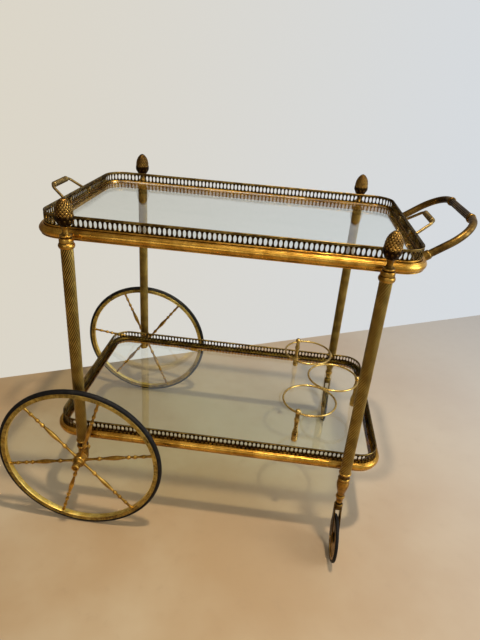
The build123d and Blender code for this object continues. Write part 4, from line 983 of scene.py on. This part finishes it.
for side, sign in SIDES.items():
    low, high = box_mm(f"wheel_tyre_{side}")
    cx, mid, cz = (low + high) / 2
    radius = (high[2] - low[2]) / 2
    tyre_half = (high[1] - low[1]) / 2
    rim_low, rim_high = box_mm(f"wheel_rim_{side}")
    rim_half = (rim_high[1] - rim_low[1]) / 2
    rim_out = radius - TYRE_DEPTH
    rim_in = rim_out - RIM_DEPTH
    middle = (cx, mid, cz)
    tyre = lathe(tyre_outline(rim_out, radius, tyre_half, 3.0, 0.6, 16), middle, (0, 1, 0),
                 WHEEL_SEGMENTS, True)
    add_piece(f"rubber_tyre_{side}", [tyre], "tyre_rubber", f"wheel_tyre_{side}")
    half_outline = turned(
        (rim_out - 0.2, rim_half - 0.6), *arc((rim_out - 1.0, rim_half - 0.9), 0.9, 60, 150, 4),
        (rim_out - 2.3, rim_half - 0.35), (rim_in + 2.6, rim_half - 0.35),
        [(rim_in + 2.2, rim_half - 0.2), (rim_in + 1.2, rim_half - 0.15),
         (rim_in + 0.8, rim_half - 0.9), 5],
        [(rim_in + 0.6, rim_half - 1.6), (rim_in + 0.15, 2.0), (rim_in, 0.0), 6])
    rim_outline = half_outline + [(r, -h) for r, h in reversed(half_outline[:-1])]
    rim_points, rim_faces, _ = lathe(rim_outline, middle, (0, 1, 0), WHEEL_SEGMENTS, True)
    # painted highlight on the rim's inner crown (relief 0.9) and painted shade over the rest of its
    # channel (relief -0.45)
    rim_painted_light = [0.9 if r < rim_in + 1.0 else -0.45 for r, _ in rim_outline]
    rim = (rim_points, rim_faces, np.repeat(rim_painted_light, WHEEL_SEGMENTS))
    add_piece(f"channel_rim_{side}", [rim], "brass_rim", f"wheel_rim_{side}")
    spoke_outline = smooth([(r, HUB_R + f * (rim_in - HUB_R)) for f, r in SPOKE_TURNING], 5)
    spoke_outline = [(3.4, HUB_R - 1.5), *spoke_outline, (3.4, rim_in + 0.8)]
    spokes = []
    for k in range(SPOKES):
        turn = radians(SPOKE_PHASE[side] + 360 / SPOKES * k)
        spokes.append(lathe(spoke_outline, middle, (cos(turn), 0, sin(turn)), 20))
    add_piece(f"turned_spokes_{side}", spokes, "brass_wheel", f"wheel_spokes_{side}")
    hub_low, hub_high = box_mm(f"wheel_hub_{side}")
    inner_y = hub_high[1] if sign < 0 else hub_low[1]
    span = hub_high[1] - hub_low[1]
    hub_outline = turned(
        (3.6, 0.0), (9.6, 0.0), [(10.0, 0.1), (12.6, 0.9), (13.4, 2.6), 5], (13.5, 3.0),
        (13.5, 6.2), (13.1, 6.6), (13.5, 7.0), (13.5, 14.4), (13.1, 14.8), (13.5, 15.2),
        [(13.5, 17.2), (13.0, 18.6), (11.6, 19.4), 5], [(11.3, 19.8), (8.9, 22.4), (8.0, 26.5), 8],
        (8.0, 27.0), (8.35, 27.4), (8.35, 28.6), (8.0, 29.0), (8.0, span - 1.2), (7.2, span - 0.1),
        (6.9, span), (5.6, span), (5.4, span - 0.3), (5.4, span - 5.0), (3.6, span - 5.0))
    hub = lathe(hub_outline, (cx, inner_y, cz), (0, sign, 0), 48, True)
    add_piece(f"turned_hub_{side}", [hub], "brass_wheel", f"wheel_hub_{side}")

# ---- casters
CASTER_TYRE_DEPTH = 6.0
CASTER_SEGMENTS = 80
FORK_INNER = 5.4
FORK_THICK = 2.2
FORK_SHOULDER = 9.0
FORK_FOOT = 16.0
FORK_FOOT_RISE = 9.0
for side in SIDES:
    low, high = box_mm(f"caster_tyre_{side}")
    cx, hub_y, cz = (low + high) / 2
    radius, half = (high[2] - low[2]) / 2, (high[0] - low[0]) / 2
    rim = radius - CASTER_TYRE_DEPTH
    axle = (cx, hub_y, cz)
    tyre = lathe(tyre_outline(rim, radius, half, 1.6, 0.5, 12), axle, (1, 0, 0), CASTER_SEGMENTS,
                 True)
    add_piece(f"caster_rubber_{side}", [tyre], "tyre_rubber", f"caster_tyre_{side}")
    upper = turned(
        (3.1, 5.0), (8.4, 5.0), [(8.5, 4.9), (9.2, 3.8), (9.6, 2.6), 5],
        [(9.8, 2.3), (10.6, 1.7), (12.5, 1.6), 4], (rim - 6.0, 1.5),
        [(rim - 5.2, 1.7), (rim - 4.3, 2.9), (rim - 3.0, 3.15), 5], (rim - 0.3, 3.1), (rim, 2.9))
    lower = [(r, -h) for r, h in reversed(upper)]
    disc = lathe(upper + lower, axle, (1, 0, 0), CASTER_SEGMENTS, True)
    add_piece(f"caster_pressed_disc_{side}", [disc], "brass_wheel", f"caster_disc_{side}")

    post_x, post_y, _ = centre_mm(f"caster_stem_{side}")
    crown_low, crown_high = box_mm(f"caster_fork_{side}")
    top = crown_high[2]
    plate_low, plate_top = top - 17.5, top - 13.0
    crown = turned(
        (4.1, -17.5), (8.7, -17.5), (9.0, -17.2), (9.0, -8.6),
        [(9.0, -8.0), (8.4, -5.8), (6.4, -4.6), 6], (5.6, -4.2), (5.4, -3.8), (5.4, -0.4),
        (5.0, 0.0), (4.1, 0.0))
    parts = [lathe(crown, (post_x, post_y, top), (0, 0, 1), 40, True)]
    foot_end = crown_low[2]
    foot_shoulder = foot_end + FORK_FOOT_RISE
    outline = turned(
        (post_y + FORK_SHOULDER, plate_top), (post_y - FORK_SHOULDER, plate_top),
        (post_y - FORK_SHOULDER, plate_low),
        [(hub_y - FORK_FOOT, foot_shoulder), (hub_y, foot_end), (hub_y + FORK_FOOT, foot_shoulder),
         14], (post_y + FORK_SHOULDER, plate_low))
    for sign in (-1, 1):
        parts.append(plate(outline, FORK_INNER, FORK_INNER + FORK_THICK, 0.5,
                           lambda a, b, h: (post_x + sign * h, a, b)))
    reach = FORK_INNER + FORK_THICK
    bridge = [(-reach, -FORK_SHOULDER), (reach, -FORK_SHOULDER), (reach, FORK_SHOULDER),
              (-reach, FORK_SHOULDER)]
    parts.append(plate(bridge, plate_low, plate_top, 0.5,
                       lambda a, b, h: (post_x + a, post_y + b, h)))
    add_piece(f"caster_fork_{side}_arms", parts, "brass_handle", f"caster_fork_{side}")

# ---- CAD nodes that stay
finishes = {"rail_brackets": "brass_turned", "post_tie_rods": "steel",
            "axle_cap_nuts": "brass_wheel"}
for side in SIDES:
    finishes[f"wheel_axle_{side}"] = "brass_wheel"
    finishes[f"caster_stem_{side}"] = "steel"
    finishes[f"caster_axle_{side}"] = "brass_turned"
for node, finish in finishes.items():
    shown = frame["nodes"][node].data.materials
    shown.clear()
    shown.append(materials[finish])


# ---- floor, light and camera
def floor_material():
    tree, shader, coords = new_material("pale_floor")
    cloud = noise(tree, coords, 1.6, 5.0, 0.55)
    grain = noise(tree, coords, 26.0, 5.0, 0.6)
    clouded = ramp(tree, cloud, 0.35, 0.65)
    colour = blend_colour(tree, clouded, (0.50, 0.375, 0.225), (0.41, 0.265, 0.13))
    grains = ramp(tree, grain, 0.55, 0.8, 0.0, 0.25)
    colour = blend_colour(tree, grains, colour, (0.33, 0.225, 0.12))
    across = tree.nodes.new("ShaderNodeSeparateXYZ")
    tree.links.new(coords, across.inputs[0])
    # painted light: the floor turns paler and greyer towards +X, as window daylight falling on it
    painted_daylight = calc(tree, "MULTIPLY_ADD", across.outputs["Y"], 0.35, across.outputs["X"])
    colour = blend_colour(tree, ramp(tree, painted_daylight, -0.2, 1.5), colour, (0.50, 0.47, 0.44))
    surface(tree, shader, colour, ramp(tree, grain, 0.3, 0.8, 0.38, 0.52))


# the floor's back edge runs at an angle, as the foot of a wall would
FLOOR_CORNERS = [(-3.2, -4.0, 0), (4.2, -4.0, 0), (4.2, 2.780, 0), (-3.2, -1.045, 0)]
floor_mesh = bpy.data.meshes.new("floor")
floor_mesh.from_pydata(FLOOR_CORNERS, [], [(0, 1, 2, 3)])
floor = add_object("floor", floor_mesh)
floor_material()
floor_mesh.materials.append(materials["pale_floor"])


def area_light(name, place, target, size, power, colour):
    light = bpy.data.lights.new(name, "AREA")
    light.shape = "RECTANGLE"
    light.size, light.size_y = size
    light.energy = power
    light.color = colour
    lamp = add_object(name, light)
    lamp.location = place
    lamp.rotation_euler = (Vector(target) - Vector(place)).to_track_quat("-Z", "Y").to_euler()


area_light("window", (2.2, -0.7, 1.4), (0.0, 0.0, 0.4), (1.2, 1.6), 34.0, (0.90, 0.96, 1.0))
area_light("ceiling", (0.42, -0.52, 2.7), (0.0, 0.0, 0.2), (0.11, 0.11), 42.0, (1.0, 0.86, 0.68))
area_light("front_fill", (-0.4, -2.4, 1.5), (0.0, 0.0, 0.4), (1.2, 0.7), 5.0, (1.0, 0.93, 0.84))

world = bpy.data.worlds.new("studio")
scene.world = world
world.use_nodes = True
tree = world.node_tree
background = tree.nodes["Background"]
direction = tree.nodes.new("ShaderNodeTexCoord").outputs["Generated"]
split = tree.nodes.new("ShaderNodeSeparateXYZ")
tree.links.new(direction, split.inputs[0])
side_light = ramp(tree, split.outputs["X"], -0.9, 0.9)
mirrored = blend_colour(tree, side_light, (0.15, 0.12, 0.085), (0.66, 0.67, 0.68))
fill = blend_colour(tree, side_light, (0.34, 0.335, 0.32), (0.46, 0.50, 0.55))
seen = blend_colour(tree, side_light, (0.72, 0.66, 0.54), (0.66, 0.72, 0.80))
ray = tree.nodes.new("ShaderNodeLightPath")
unscattered = calc(tree, "LESS_THAN", ray.outputs["Diffuse Depth"], 0.5)
through_glass = calc(tree, "MULTIPLY", ray.outputs["Is Transmission Ray"], unscattered)
direct = calc(tree, "MAXIMUM", ray.outputs["Is Camera Ray"], through_glass)
around = blend_colour(tree, ray.outputs["Is Glossy Ray"], fill, mirrored)
tree.links.new(blend_colour(tree, direct, around, seen), background.inputs["Color"])
background.inputs["Strength"].default_value = 1.0

camera_data = bpy.data.cameras.new("camera")
camera_data.sensor_width = 36.0
camera_data.lens = 28.91
camera = add_object("camera", camera_data)
camera.location = (0.09203, -1.06370, 0.94122)
camera.rotation_euler = (1.10739, -0.0714, 0.1039)
bpy.context.scene.camera = camera
scene.view_settings.view_transform = "Standard"
